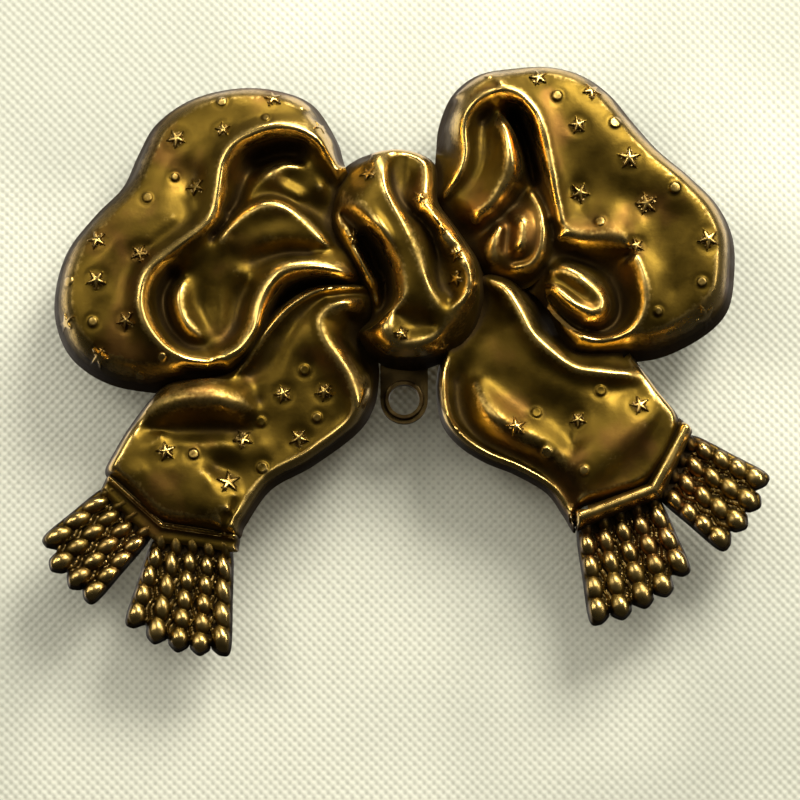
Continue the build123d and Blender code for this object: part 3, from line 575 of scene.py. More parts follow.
knot_relief = Relief([
    # the left flap, and the deep crescent right of it
    [(-6.0, 13.6, 6.4), (-5.9, 11.4, 6.4), (-5.1, 9.2, 6.1), (-3.9, 7.2, 5.8), (-2.8, 5.4, 5.3)],
    [(-5.3, 11.8, 6.8), (-4.6, 10.2, 6.6), (-3.7, 8.6, 6.2), (-2.9, 7.0, 5.8)],
    [(-3.8, 11.2, 5.8), (-3.0, 10.2, 4.9), (-2.3, 9.0, 4.2), (-1.8, 7.6, 4.0), (-1.7, 6.0, 4.0),
     (-2.3, 4.6, 4.2)],
    # the edge that overhangs it
    ([(-5.4, 13.4, 7.0), (-3.8, 12.1, 7.8), (-2.2, 10.5, 8.1), (-1.1, 8.9, 8.2), (-0.7, 7.3, 8.1),
      (-0.7, 5.9, 7.9), (-1.3, 4.6, 7.5), (-2.6, 3.4, 6.8)], ((0.0, 0.0), (-0.35, -1.0))),
    # the bright crest from the top down to the right
    ([(-2.2, 18.4, 7.6), (-2.3, 16.9, 9.0), (-2.2, 15.4, 9.5), (-1.6, 13.9, 9.6), (-0.6, 12.2, 9.6),
      (0.2, 10.7, 9.6), (0.8, 9.2, 9.5), (1.2, 7.7, 9.3), (1.8, 6.2, 9.0),
      (2.6, 5.1, 8.6)], ((-0.8, -0.3), (0.0, 0.0), (0.5, -0.3))),
    # the hollow at the top right and the groove that runs down from it
    ([(-0.7, 18.2, 6.8), (-1.1, 16.9, 6.9), (-1.0, 15.5, 6.8), (-0.5, 14.3, 6.9), (0.6, 13.1, 7.0),
      (1.7, 12.0, 7.2), (2.4, 10.7, 7.2), (2.7, 9.2, 7.2), (2.7, 7.8, 7.2), (3.1, 6.5, 7.2),
      (3.9, 5.8, 7.3)], ((-0.35, 0.35), (0.0, 0.0), (0.3, 0.9))),
    [(0.3, 17.4, 6.8), (0.3, 16.2, 6.8), (0.2, 15.2, 7.0)],
    [(1.8, 17.6, 7.4), (1.7, 16.2, 8.0), (1.2, 14.9, 8.5)],
    # the right-hand crest
    ([(1.0, 14.3, 8.8), (1.8, 12.9, 9.3), (3.0, 11.3, 9.4), (4.1, 9.8, 9.3), (4.8, 8.3, 9.1), (5.0, 6.9, 8.8),
      (4.7, 5.8, 8.5), (3.9, 5.0, 8.2)], ((0.8, -0.3), (0.0, 0.0), (-0.45, -0.5))),
    [(3.1, 9.5, 7.9), (3.6, 8.2, 7.7), (3.9, 6.9, 7.7)],
    # the lower bowl and the edge over the outer ring
    [(-0.8, 4.2, 7.2), (0.6, 3.2, 6.9), (2.2, 3.2, 7.2)],
    ([(-2.7, 1.9, 6.3), (-1.4, 1.0, 6.5), (0.6, 0.8, 6.7), (2.2, 1.6, 6.9), (3.5, 2.8, 7.1), (4.9, 4.2, 7.2),
      (5.8, 5.8, 7.1), (6.1, 7.6, 6.9), (5.9, 9.4, 6.8)], ((0.0, 0.0), (-0.4, -0.9))),
    [(-2.4, 0.5, 4.6), (-0.8, -0.1, 4.9), (1.4, -0.1, 5.1), (3.5, 0.9, 5.3), (5.3, 2.7, 5.4), (6.5, 5.0, 5.4),
     (6.8, 7.4, 5.2)],
    [(-5.6, 16.2, 5.8), (-4.4, 17.4, 6.2), (-3.0, 18.2, 6.4)],
    [(-4.6, 15.2, 7.8), (-3.4, 16.6, 8.2)],
    [(5.0, 11.4, 7.0), (3.8, 13.6, 7.2), (3.0, 15.4, 7.0)],
])

KNOT = edge(BASE, [
    (-5.0, 17.6, 3.6), (-3.4, 18.4, 2.4), (-1.0, 18.7), (1.2, 18.4, 2.0), (2.5, 17.4, 3.4), (2.9, 15.4, 3.6),
    (3.0, 13.8, 3.6), (4.2, 12.1, 3.6), (5.5, 10.2, 3.6), (6.5, 8.8, 3.4), (7.0, 7.2, 3.2), (6.9, 5.1, 3.0),
    (5.9, 2.4, 2.6), (4.0, 0.5, 2.0), (1.3, -0.6), (-1.4, -0.5), (-2.8, 0.2, 1.6), (-3.7, 1.2, 2.6),
    (-4.3, 2.6, 3.2), (-3.2, 4.0, 3.4), (-3.4, 5.6, 3.6), (-4.4, 6.9, 3.6), (-5.6, 8.9, 3.6),
    (-6.5, 10.7, 3.6), (-6.9, 12.9, 3.8), (-6.6, 15.2, 3.8), (-5.9, 16.7, 3.8),
])
KNOT_STARS = [
    (-4.6, 10.9, 0.95, 0.1), (-3.5, 16.2, 0.8, 0.4), (4.2, 9.0, 0.75, 0.3), (4.2, 7.0, 0.8, 0.8),
    (-0.5, 2.3, 0.75, 0.2), (1.0, 14.1, 0.75, 0.6), (3.3, 1.4, 0.6, 0.5),
]
KNOT_DOTS = [(-2.3, 7.6, 0.42), (2.9, 11.0, 0.42), (4.9, 1.9, 0.4)]

sheet("knot_wrap", ["knot"], knot_relief, KNOT, wall=1.3, stars=KNOT_STARS, dots=KNOT_DOTS)


# ---- tails --------------------------------------------------------------------------------------------

left_tail_relief = Relief([
    # the edge of the lobe that leaves the knot
    ([(-3.8, 6.6, 5.2), (-5.6, 6.6, 6.4), (-7.9, 6.2, 6.8), (-10.2, 4.9, 6.6), (-12.0, 3.0, 6.4),
      (-13.4, 1.0, 6.0), (-14.6, -0.6, 5.4)], ((-0.5, -0.4), (0.0, 0.0), (0.5, -0.8))),
    # the roll along its right side
    ([(-3.8, 5.7, 4.8), (-5.0, 5.5, 6.4), (-6.2, 5.2, 6.9), (-7.5, 4.0, 6.9), (-7.4, 2.4, 6.9),
      (-6.3, 0.6, 6.7), (-5.2, -1.2, 6.4), (-4.6, -3.0, 6.0), (-4.5, -4.6, 5.6), (-5.4, -6.0, 5.3),
      (-7.5, -7.9, 5.2), (-10.4, -9.8, 5.1), (-12.9, -11.6, 5.0), (-14.6, -13.2, 4.8),
      (-15.2, -14.4, 4.4)], ((0.7, -0.5), (0.0, 0.0), (-0.8, -0.6))),
    [(-5.0, 3.8, 4.2), (-5.2, 2.2, 3.8), (-4.4, 0.6, 3.6), (-3.6, -0.6, 3.4)],
    # the field between, with the stars
    [(-9.2, 3.2, 5.8), (-10.4, 0.8, 5.2), (-10.6, -1.8, 4.9), (-9.6, -4.4, 4.6), (-8.4, -6.2, 4.3)],
    [(-8.2, 0.0, 5.2), (-7.2, -2.6, 4.9), (-6.6, -4.6, 4.6)],
    # the roll across the top of the tail
    ([(-23.2, -4.6, 4.2), (-21.7, -3.4, 5.6), (-20.2, -2.7, 6.4), (-18.2, -2.4, 6.8), (-16.2, -2.5, 6.8),
      (-14.6, -3.0, 6.2), (-13.6, -3.9, 5.2)], ((0.9, -0.9), (0.0, 0.0), (-1.4, -0.35))),
    [(-23.4, -6.4, 4.2), (-21.6, -6.0, 4.0), (-19.0, -5.7, 3.9), (-16.4, -5.6, 3.9), (-14.2, -5.5, 4.0),
     (-12.8, -4.6, 4.3), (-12.4, -3.2, 4.5), (-12.8, -1.8, 4.6)],
    # the dish below it, and the ridge that bounds it
    [(-20.4, -7.2, 4.7), (-17.8, -7.0, 4.4), (-15.2, -7.0, 4.3), (-12.6, -7.2, 4.2)],
    [(-16.8, -9.2, 3.9), (-14.0, -9.8, 3.9)],
    ([(-22.4, -7.2, 4.7), (-20.6, -8.6, 4.9), (-18.8, -10.0, 5.1), (-17.0, -11.6, 5.2),
      (-15.6, -12.8, 5.0)], ((1.3, -0.25), (0.0, 0.0), (-1.4, -0.3))),
    [(-23.2, -9.4, 4.6), (-21.4, -11.6, 4.5), (-18.4, -13.2, 4.5)],
    [(-25.0, -9.4, 4.2), (-21.3, -13.2, 4.1), (-15.6, -14.4, 4.2)],
    [(-25.4, -8.0, 4.3), (-24.2, -6.0, 4.3)],
])
LEFT_TAIL = edge(BASE, [
    (-2.6, 6.8, 3.2), (-5.6, 7.0, 3.0), (-8.6, 6.7, 3.0), (-11.0, 5.2, 3.0), (-12.9, 3.2, 3.0),
    (-14.4, 1.2, 3.0), (-15.6, -0.6, 3.0), (-17.4, -1.2, 3.0), (-19.6, -1.4, 2.4), (-21.4, -2.0, 1.4),
    (-23.0, -3.6), (-24.6, -5.8), (-25.8, -7.8), (-26.6, -9.8), (-24.8, -11.2, 2.0), (-22.0, -13.9, 2.0),
    (-18.6, -14.7, 2.0), (-15.0, -15.5, 1.4), (-14.2, -14.3), (-12.0, -11.2), (-8.3, -9.1), (-4.4, -6.2),
    (-2.9, -3.8), (-2.5, -1.1), (-2.6, 1.6, 2.0), (-2.0, 4.4, 2.6),
])
LEFT_TAIL_STARS = [
    (-21.1, -7.6, 1.0, 0.2), (-14.4, -6.4, 1.0, 0.5), (-15.6, -10.2, 1.15, 0.1), (-9.5, -6.4, 1.0, 0.7),
    (-10.9, -2.6, 0.9, 0.3), (-7.3, -2.4, 0.9, 0.5),
]
LEFT_TAIL_DOTS = [
    (-18.7, -7.8, 0.55), (-12.7, -8.9, 0.6), (-12.8, -4.9, 0.5), (-9.0, -0.5, 0.55), (-7.9, -4.6, 0.5),
]
LEFT_ROLL = edge(NO_WALL, [
    (-22.9, -4.2), (-21.4, -2.9), (-19.4, -1.7), (-17.0, -1.4), (-14.8, -1.8), (-13.2, -3.2), (-13.6, -4.8),
    (-16.4, -5.1), (-19.4, -5.1), (-21.8, -5.0),
])
sheet("left_tail_ribbon", ["left_tail"], left_tail_relief, LEFT_TAIL, [LEFT_ROLL], wall=1.1,
      stars=LEFT_TAIL_STARS, dots=LEFT_TAIL_DOTS)
sheet("left_tail_top_roll", ["left_tail_roll"], left_tail_relief, LEFT_ROLL)

right_tail_relief = Relief([
    # the fold from the knot down to the loop's lower edge
    ([(7.2, 7.2, 5.0), (8.6, 6.4, 5.6), (9.9, 4.4, 5.9), (10.9, 2.6, 6.0), (12.6, 0.9, 6.0),
      (14.6, -0.4, 5.9), (17.0, -0.8, 5.8), (19.4, -1.0, 5.4)], ((0.8, -0.9), (0.0, 0.0), (-0.9, -0.7))),
    [(9.8, 6.6, 3.6), (11.6, 4.0, 3.6), (13.2, 1.8, 3.8), (15.0, 0.8, 4.0), (18.0, 0.6, 4.0)],
    # the lip and groove down the left side
    [(3.3, -1.4, 4.3), (3.3, -3.2, 4.3), (3.8, -5.1, 4.3), (5.2, -6.9, 4.3), (7.1, -8.2, 4.3),
     (9.7, -9.3, 4.3), (12.1, -10.8, 4.2), (13.6, -12.8, 3.6)],
    [(4.1, -1.6, 2.6), (4.3, -3.6, 2.5), (5.1, -5.5, 2.5), (6.8, -7.0, 2.6), (9.2, -8.2, 2.8),
     (11.5, -9.4, 2.9), (13.2, -11.0, 3.0), (14.4, -12.4, 3.0)],
    # the field
    [(5.8, -2.0, 3.8), (6.4, -3.9, 4.5), (7.6, -5.2, 5.0), (9.6, -6.4, 5.1), (11.6, -7.4, 4.9),
     (13.7, -9.2, 4.7), (15.4, -11.2, 4.4)],
    [(5.2, 2.4, 3.6), (6.2, 0.2, 3.6), (7.6, -2.2, 3.9), (9.8, -4.2, 4.2), (12.6, -5.4, 4.3),
     (14.4, -7.0, 4.4)],
    [(8.6, 2.6, 4.6), (10.2, 0.0, 4.7), (12.6, -1.8, 4.9), (15.4, -2.8, 4.9), (17.4, -3.2, 5.0)],
    ([(21.2, -2.8, 5.0), (20.2, -4.4, 5.5), (18.8, -6.0, 5.7), (17.0, -7.6, 5.7),
      (15.4, -9.0, 5.4)], ((-1.3, -0.35), (0.0, 0.0), (1.3, -0.35))),
    [(22.2, -4.6, 4.6), (20.6, -7.4, 4.6), (18.0, -9.6, 4.6), (16.0, -11.0, 4.5)],
    [(23.0, -5.6, 4.2), (20.8, -9.6, 4.2), (15.2, -12.2, 4.2)],
])
RIGHT_TAIL = edge(BASE, [
    (5.4, 7.0, NO_WALL), (7.6, 8.0, NO_WALL), (10.4, 7.4, NO_WALL), (13.0, 4.6, NO_WALL),
    (14.6, 2.0, NO_WALL), (17.6, 1.4, NO_WALL), (19.6, 0.8, 2.4), (20.6, -0.4), (22.2, -2.6), (23.8, -4.7),
    (23.6, -6.4, 3.0), (21.2, -10.4, 3.0), (18.0, -11.7, 3.0), (14.9, -13.0, 2.4), (14.7, -15.0),
    (13.6, -13.4), (12.2, -11.5), (9.5, -9.9), (6.8, -8.8), (4.6, -7.4), (3.1, -5.6), (2.6, -3.4),
    (2.6, -1.2), (3.0, 0.6, 1.8), (3.6, 2.8, 2.4), (4.2, 5.2, 2.6),
])
RIGHT_TAIL_STARS = [(20.3, -3.6, 1.0, 0.3), (9.5, -5.5, 1.0, 0.2), (14.9, -4.8, 0.85, 0.6)]
RIGHT_TAIL_DOTS = [(12.1, -7.7, 0.6), (16.9, -2.3, 0.55), (15.4, -9.3, 0.5), (11.3, -4.1, 0.55)]
sheet("right_tail_ribbon", ["right_tail"], right_tail_relief, RIGHT_TAIL, wall=0.8,
      stars=RIGHT_TAIL_STARS, dots=RIGHT_TAIL_DOTS)


# ---- hems ---------------------------------------------------------------------------------------------

def line_distance(points, line):
    """Distance from each point to an open line of drawn points."""
    placed = to_frame([(x, z, HEM_LEVEL) for x, z in line])[:, :2]
    best = np.full(len(points), np.inf)
    for a, b in zip(placed, placed[1:]):
        run = b - a
        t = np.clip(((points[:, :2] - a) @ run) / (run @ run), 0, 1)
        best = np.minimum(best, np.linalg.norm(points[:, :2] - a - t[:, None] * run, axis=1))
    return best


def flat_hem(points):
    """The left tail's band: sunken, with a fine raised line near its upper edge."""
    along = [(-26.2, -9.9), (-21.5, -14.1), (-14.9, -15.1)]
    return 2.3 + 0.85 * np.exp(-(line_distance(points, along) / 0.27) ** 2)


def bar_hem(points):
    """The right tail's band: a rounded bar."""
    across = line_distance(points, [(14.8, -13.6), (21.5, -11.1), (24.4, -5.8)]) / 0.72
    return 2.9 + 1.5 * np.sqrt(np.clip(1 - across ** 2, 0, 1))


LEFT_HEM = edge(NO_WALL, [
    (-26.1, -9.5, 2.0), (-25.9, -9.6, 3.0), (-23.2, -11.2), (-21.3, -12.9), (-21.0, -13.0), (-18.0, -13.5),
    (-15.0, -14.7, 2.4), (-14.7, -14.9, BASE), (-14.8, -16.2, BASE), (-15.2, -16.6, 2.0), (-18.4, -16.1, 2.0),
    (-21.7, -15.8, 2.0), (-22.2, -15.6, 2.0), (-24.6, -13.5, 2.0), (-26.8, -11.4, 1.6), (-26.9, -11.0, BASE),
])
RIGHT_HEM = edge(NO_WALL, [
    (14.4, -13.0, 1.6), (14.6, -12.8, 2.4), (17.7, -10.9), (20.6, -9.7), (20.8, -9.5), (22.1, -7.4),
    (23.7, -5.1, 2.4), (24.1, -5.0, 1.6), (25.0, -5.9, BASE), (24.9, -6.4, 2.0), (23.6, -9.2, 2.0),
    (22.4, -11.6, 2.0), (22.0, -12.0, 2.0), (18.4, -13.3, 2.0), (15.2, -14.6, 2.0), (14.8, -14.6, 1.6),
])
sheet("left_tail_hem", ["left_hem"], flat_hem, LEFT_HEM, wall=0.5, grid=0.6 * GRID)
sheet("right_tail_hem", ["right_hem"], bar_hem, RIGHT_HEM, wall=0.5, grid=0.8 * GRID)


# ---- fringe -------------------------------------------------------------------------------------------

class Fringe:
    """A bunch of beaded strands: beads in rows with a fine wavy line between neighbours."""

    BEAD_PITCH = 1.85
    BEAD_HEIGHT = 0.8
    BEAD_LENGTH = 0.62        # half of it, as a share of the pitch
    BEAD_WIDTH = 0.40         # half of it, as a share of the strands' spacing
    BEAD_ROUNDNESS = 1.7
    WEB_HEIGHT = 1.55
    LINE_HEIGHT = 0.38
    LINE_WAVE = 0.14
    LINE_WIDTH = 0.11
    ROOT_REACH = 1.5          # how far the sheet runs on under the hem

    def __init__(self, strands, lean):
        self.roots = to_frame([(*root, LOW_LEVEL) for root, _ in strands])[:, :2]
        self.tips = to_frame([(*tip, LOW_LEVEL) for _, tip in strands])[:, :2]
        self.drawn = strands
        self.lean = lean

    def outline(self):
        """The drawn outline: down the first strand's outside, round the tips and back up the last."""
        roots = np.array([root for root, _ in self.drawn])
        tips = np.array([tip for _, tip in self.drawn])
        along = (tips - roots) / np.linalg.norm(tips - roots, axis=1)[:, None]
        across = np.stack([-along[:, 1], along[:, 0]], axis=1)
        side = np.sign(across[0] @ (roots[-1] - roots[0]))
        half = 0.42 * np.linalg.norm(tips[1:] - tips[:-1], axis=1).mean()
        points = [roots[0] - side * across[0] * half * 0.9 - along[0] * 0.3,
                  (roots[0] + tips[0]) / 2 - side * across[0] * half]
        for i in range(len(roots)):
            points.append(tips[i] - side * across[i] * half * 0.95 - along[i] * 0.1)
            points.append(tips[i] + along[i] * 0.42)
            points.append(tips[i] + side * across[i] * half * 0.95 - along[i] * 0.1)
            if i + 1 < len(roots):
                points.append((tips[i] + tips[i + 1]) / 2 - (along[i] + along[i + 1]) * 0.22)
        points.append((roots[-1] + tips[-1]) / 2 + side * across[-1] * half)
        points.append(roots[-1] + side * across[-1] * half * 0.9 - along[-1] * 0.3)
        points += [root - a * self.ROOT_REACH for root, a in zip(roots[::-1], along[::-1])]
        return edge(BASE, points)

    def __call__(self, points):
        """Heights of the beads and lines."""
        height = np.full(len(points), self.WEB_HEIGHT)
        gaps = np.linalg.norm(self.roots[1:] - self.roots[:-1], axis=1).mean()
        tip_gaps = np.linalg.norm(self.tips[1:] - self.tips[:-1], axis=1).mean()
        for i, (root, tip) in enumerate(zip(self.roots, self.tips)):
            length = np.linalg.norm(tip - root)
            along = (tip - root) / length
            across = np.array([-along[1], along[0]])
            offset = points[:, :2] - root
            down, aside = offset @ along, offset @ across
            spread = gaps + (tip_gaps - gaps) * np.clip(down / length, 0, 1)
            count = int(round(length / self.BEAD_PITCH))
            pitch = length / count
            for k in range(-1, count):
                centre = (k + (0.5 if i % 2 else 0.42)) * pitch
                p = (down - centre) * math.cos(self.lean) + aside * math.sin(self.lean)
                q = aside * math.cos(self.lean) - (down - centre) * math.sin(self.lean)
                rho = (np.abs(p) / (self.BEAD_LENGTH * pitch)) ** self.BEAD_ROUNDNESS
                rho = rho + (q / (self.BEAD_WIDTH * spread)) ** 2
                rise = self.BEAD_HEIGHT * np.sqrt(np.clip(1 - rho, 0, 1))
                height = np.maximum(height, self.WEB_HEIGHT + rise)
        for i in range(len(self.roots) - 1):
            root = (self.roots[i] + self.roots[i + 1]) / 2
            tip = (self.tips[i] + self.tips[i + 1]) / 2
            length = np.linalg.norm(tip - root)
            along = (tip - root) / length
            offset = points[:, :2] - root
            down, aside = offset @ along, offset @ np.array([-along[1], along[0]])
            wave = self.LINE_WAVE * np.sin(2 * math.pi * down / self.BEAD_PITCH + i)
            line = self.LINE_HEIGHT * np.exp(-((aside - wave) / self.LINE_WIDTH) ** 2)
            line = line * (np.abs(down - length / 2) < length / 2)
            height = np.maximum(height, self.WEB_HEIGHT + line)
        return height


BUNCHES = {
    "left_outer_fringe": (-0.3, [
        ((-26.7, -11.9), (-31.5, -15.9)), ((-25.6, -13.0), (-31.0, -18.0)), ((-24.6, -14.1), (-29.4, -19.5)),
        ((-23.4, -15.3), (-28.0, -20.6)),
    ]),
    "left_inner_fringe": (0.25, [
        ((-21.9, -16.4), (-24.0, -22.9)), ((-20.5, -16.7), (-22.1, -24.3)), ((-19.0, -16.8), (-20.1, -25.0)),
        ((-17.5, -17.0), (-18.2, -25.3)), ((-16.1, -17.1), (-16.3, -25.3)),
    ]),
    "right_inner_fringe": (0.1, [
        ((15.7, -15.2), (16.8, -22.6)), ((17.2, -14.6), (18.8, -22.2)), ((18.7, -14.0), (20.8, -21.2)),
        ((20.2, -13.4), (22.6, -20.2)), ((21.7, -12.8), (24.1, -18.4)),
    ]),
    "right_outer_fringe": (-0.35, [
        ((22.9, -11.6), (28.0, -15.9)), ((23.8, -10.1), (29.5, -14.3)), ((24.6, -8.7), (30.7, -12.5)),
        ((25.3, -7.3), (31.3, -10.5)),
    ]),
}
for bunch_name, (lean, strands) in BUNCHES.items():
    bunch = Fringe(strands, lean)
    sheet(bunch_name + "_beads", [bunch_name], bunch, bunch.outline(), wall=0.35,
          grid=0.6 * GRID)


# ---- recesses and crests, for the finish --------------------------------------------------------------

def blurred(field, sigma):
    """A Gaussian blur of a raster."""
    reach = int(3 * sigma) + 1
    weights = np.exp(-0.5 * (np.arange(-reach, reach + 1) / sigma) ** 2)
    weights /= weights.sum()
    for axis in (0, 1):
        field = np.apply_along_axis(lambda row: np.convolve(row, weights, mode="same"), axis, field)
    return field


SURROUNDINGS = {"fine": 0.45, "wide": 1.5}    # how far around a point they reach
HIDDEN_DEPTH = 0.25                           # of the backs, whose own finish doesn't use it


def mark_recesses():
    """Stores how far each point of a sheet lies below or above its surroundings."""
    pitch = 0.2
    margin = 3
    low = np.min([front[:, [0, 2]].min(axis=0) for _, front in sheets], axis=0) - margin
    high = np.max([front[:, [0, 2]].max(axis=0) for _, front in sheets], axis=0) + margin
    shape = np.ceil((high - low) / pitch).astype(int) + 1
    raster = np.zeros(shape)
    for _, front in sheets:
        cell = np.round((front[:, [0, 2]] - low) / pitch).astype(int)
        total, count = np.zeros(shape), np.zeros(shape)
        np.add.at(total, (cell[:, 0], cell[:, 1]), -front[:, 1])
        np.add.at(count, (cell[:, 0], cell[:, 1]), 1)
        raster = np.maximum(raster, total / np.maximum(count, 1))
    covered = (raster > 0).astype(float)
    levels = {}
    for name, sigma in SURROUNDINGS.items():
        levels[name] = blurred(raster, sigma / pitch) / np.maximum(blurred(covered, sigma / pitch), 0.25)
    for piece, front in sheets:
        cell = (front[:, [0, 2]] - low) / pitch
        base = np.floor(cell).astype(int)
        part = cell - base
        for name, level in levels.items():
            value = 0
            for dx in (0, 1):
                for dz in (0, 1):
                    share = np.abs(1 - dx - part[:, 0]) * np.abs(1 - dz - part[:, 1])
                    value = value + share * level[base[:, 0] + dx, base[:, 1] + dz]
            depth = value + front[:, 1]
            layer = piece.data.attributes.new("depth_" + name, "FLOAT", "POINT")
            depths = np.concatenate([depth, np.full(len(depth), HIDDEN_DEPTH)])
            layer.data.foreach_set("value", depths.astype(np.float32))


mark_recesses()


# ---- materials ----------------------------------------------------------------------------------------

class Nodes:
    """A short way to build a material's node tree."""

    def __init__(self, name):
        self.material = bpy.data.materials.new(name)
        self.material.use_nodes = True
        self.tree = self.material.node_tree
        self.shader = self.tree.nodes["Principled BSDF"]
        self.place = self.add("ShaderNodeTexCoord").outputs["Object"]

    def add(self, kind, **settings):
        node = self.tree.nodes.new(kind)
        for key, value in settings.items():
            setattr(node, key, value)
        return node

    def link(self, source, target):
        self.tree.links.new(source, target)

    def noise(self, size_mm, detail=3.0, stretch=(1, 1, 1), turn=(0, 0, 0)):
        mapping = self.add("ShaderNodeMapping")
        mapping.inputs["Scale"].default_value = [s / (size_mm * MM) for s in stretch]
        mapping.inputs["Rotation"].default_value = turn
        self.link(self.place, mapping.inputs["Vector"])
        node = self.add("ShaderNodeTexNoise")
        node.inputs["Scale"].default_value = 1.0
        node.inputs["Detail"].default_value = detail
        self.link(mapping.outputs["Vector"], node.inputs["Vector"])
        return node.outputs["Fac"]

    def ramp(self, value, low, high, bottom=0.0, top=1.0):
        node = self.add("ShaderNodeMapRange", clamp=True, interpolation_type="SMOOTHSTEP")
        for key, number in zip(("From Min", "From Max", "To Min", "To Max"), (low, high, bottom, top)):
            node.inputs[key].default_value = number
        self.link(value, node.inputs["Value"])
        return node.outputs["Result"]

    def math(self, operation, a, b=None):
        node = self.add("ShaderNodeMath", operation=operation)
        for socket, value in zip(node.inputs, (a, b)):
            if value is None:
                continue
            if isinstance(value, (int, float)):
                socket.default_value = value
            else:
                self.link(value, socket)
        return node.outputs[0]

    def mix(self, share, first, second):
        node = self.add("ShaderNodeMix", data_type="RGBA")
        self.link(share, node.inputs["Factor"])
        for key, colour in (("A", first), ("B", second)):
            socket = [s for s in node.inputs if s.name == key and s.type == "RGBA"][0]
            if isinstance(colour, tuple):
                socket.default_value = (*colour, 1)
            else:
                self.link(colour, socket)
        return [s for s in node.outputs if s.type == "RGBA"][0]

    def attribute(self, name):
        return self.add("ShaderNodeAttribute", attribute_name=name).outputs["Fac"]

    def bump(self, height, distance_mm, strength=1.0, below=None):
        node = self.add("ShaderNodeBump")
        node.inputs["Distance"].default_value = distance_mm * MM
        node.inputs["Strength"].default_value = strength
        self.link(height, node.inputs["Height"])
        if below is not None:
            self.link(below, node.inputs["Normal"])
        return node.outputs["Normal"]


COPPER_TINT = (0.30, 0.115, 0.04)
STAIN_SHADE = 0.38            # a stain's colour, as a share of the field's
FINE_WEIGHT = 3.0             # how much the relief counts for the finish
WIDE_WEIGHT = 0.30


def antiqued_brass(name, gold, field, patina, copper=0.35, gloss=0.27):
    """Brass darkened in its recesses and rubbed bright on its crests. copper is the share of the tint."""
    n = Nodes(name)
    fine = n.attribute("depth_fine")
    wide = n.attribute("depth_wide")
    mottle = n.noise(2.2, 6.0)
    speckle = n.noise(0.35, 3.0)
    broad = n.noise(7.0, 3.0)
    stain = n.noise(5.0, 5.0)
    scratch = n.noise(1.6, 4.0, stretch=(0.35, 6.0, 6.0), turn=(0.2, 0.5, 0.3))
    near_depth = n.math("MULTIPLY", fine, FINE_WEIGHT)
    depths = n.math("ADD", near_depth, n.math("MULTIPLY", wide, WIDE_WEIGHT))
    worn = n.math("ADD", depths, n.math("MULTIPLY", n.math("SUBTRACT", mottle, 0.5), 1.2))
    worn = n.math("ADD", worn, n.math("MULTIPLY", n.math("SUBTRACT", speckle, 0.5), 0.7))
    recess = n.ramp(worn, 0.2, 1.4)
    rubbed = n.math("ADD", near_depth, n.math("MULTIPLY", n.math("SUBTRACT", speckle, 0.5), 0.8))
    crest = n.ramp(rubbed, -0.25, -1.05)
    darker = n.math("MULTIPLY", n.ramp(stain, 0.42, 0.62), 0.75)
    tint = n.math("MULTIPLY", n.ramp(broad, 0.5, 0.68), copper)
    colour = n.mix(darker, field, tuple(STAIN_SHADE * part for part in field))
    colour = n.mix(tint, colour, COPPER_TINT)
    colour = n.mix(crest, colour, gold)
    colour = n.mix(recess, colour, patina)
    n.link(colour, n.shader.inputs["Base Color"])
    n.link(n.ramp(recess, 0.0, 1.0, 1.0, 0.9), n.shader.inputs["Metallic"])
    rough = n.ramp(mottle, 0.3, 0.7, gloss + 0.12, gloss + 0.26)
    rough = n.math("ADD", rough, n.math("MULTIPLY", recess, 0.12))
    rough = n.math("SUBTRACT", rough, n.math("MULTIPLY", crest, 0.20))
    n.link(rough, n.shader.inputs["Roughness"])
    normal = n.bump(mottle, 0.05, 0.4)
    normal = n.bump(speckle, 0.018, 0.7, normal)
    n.link(n.bump(scratch, 0.006, 0.5, normal), n.shader.inputs["Normal"])
    return n.material


def plain_metal(name, colour, dark, roughness, grain=(0.2, 4.0, 4.0)):
    """Rolled or drawn metal with its grain, a little tarnish and scratches."""
    n = Nodes(name)
    tarnish = n.ramp(n.noise(1.8, 5.0), 0.38, 0.68)
    lines = n.noise(0.5, 4.0, stretch=grain)
    n.link(n.mix(tarnish, colour, dark), n.shader.inputs["Base Color"])
    n.shader.inputs["Metallic"].default_value = 1.0
    n.link(n.ramp(lines, 0.3, 0.7, roughness, roughness + 0.16), n.shader.inputs["Roughness"])
    n.link(n.bump(lines, 0.008, 0.6, n.bump(tarnish, 0.02, 0.3)), n.shader.inputs["Normal"])
    return n.material


FINISHES = {
    "struck": antiqued_brass(
        "antiqued_brass", gold=(0.92, 0.62, 0.18), field=(0.175, 0.108, 0.015), patina=(0.055, 0.032, 0.008)),
    "beads": antiqued_brass(
        "antiqued_bead_brass", gold=(0.72, 0.49, 0.16), field=(0.17, 0.105, 0.022),
        patina=(0.024, 0.014, 0.004), copper=0.3, gloss=0.24),
}
UNRUBBED = plain_metal("unrubbed_brass", (0.42, 0.28, 0.09), (0.17, 0.105, 0.032), 0.42, (1, 1, 1))
for piece, _ in sheets:
    piece.data.materials.append(FINISHES["beads" if "beads" in piece.name else "struck"])
    piece.data.materials.append(UNRUBBED)

# nodes, and their metal's colour, tarnish and roughness
HARDWARE = {
    ("back_plate",): plain_metal("rolled_brass", (0.15, 0.10, 0.034), (0.065, 0.042, 0.015), 0.40),
    ("drop_eyelet",): plain_metal("eyelet_brass", (0.30, 0.20, 0.07), (0.09, 0.055, 0.02), 0.30),
    ("pin_bar", "bar_rivets", "hinge_rivet", "catch_casing", "catch_lock"):
        plain_metal("turned_brass", (0.66, 0.48, 0.20), (0.40, 0.27, 0.10), 0.24),
    ("pin_stem",): plain_metal("drawn_steel", (0.62, 0.60, 0.56), (0.42, 0.40, 0.37), 0.20, (0.1, 8.0, 8.0)),
}
for node_names, metal in HARDWARE.items():
    for node_name in node_names:
        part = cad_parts[node_name]
        part.data.materials.clear()
        part.data.materials.append(metal)


# ---- stage --------------------------------------------------------------------------------------------

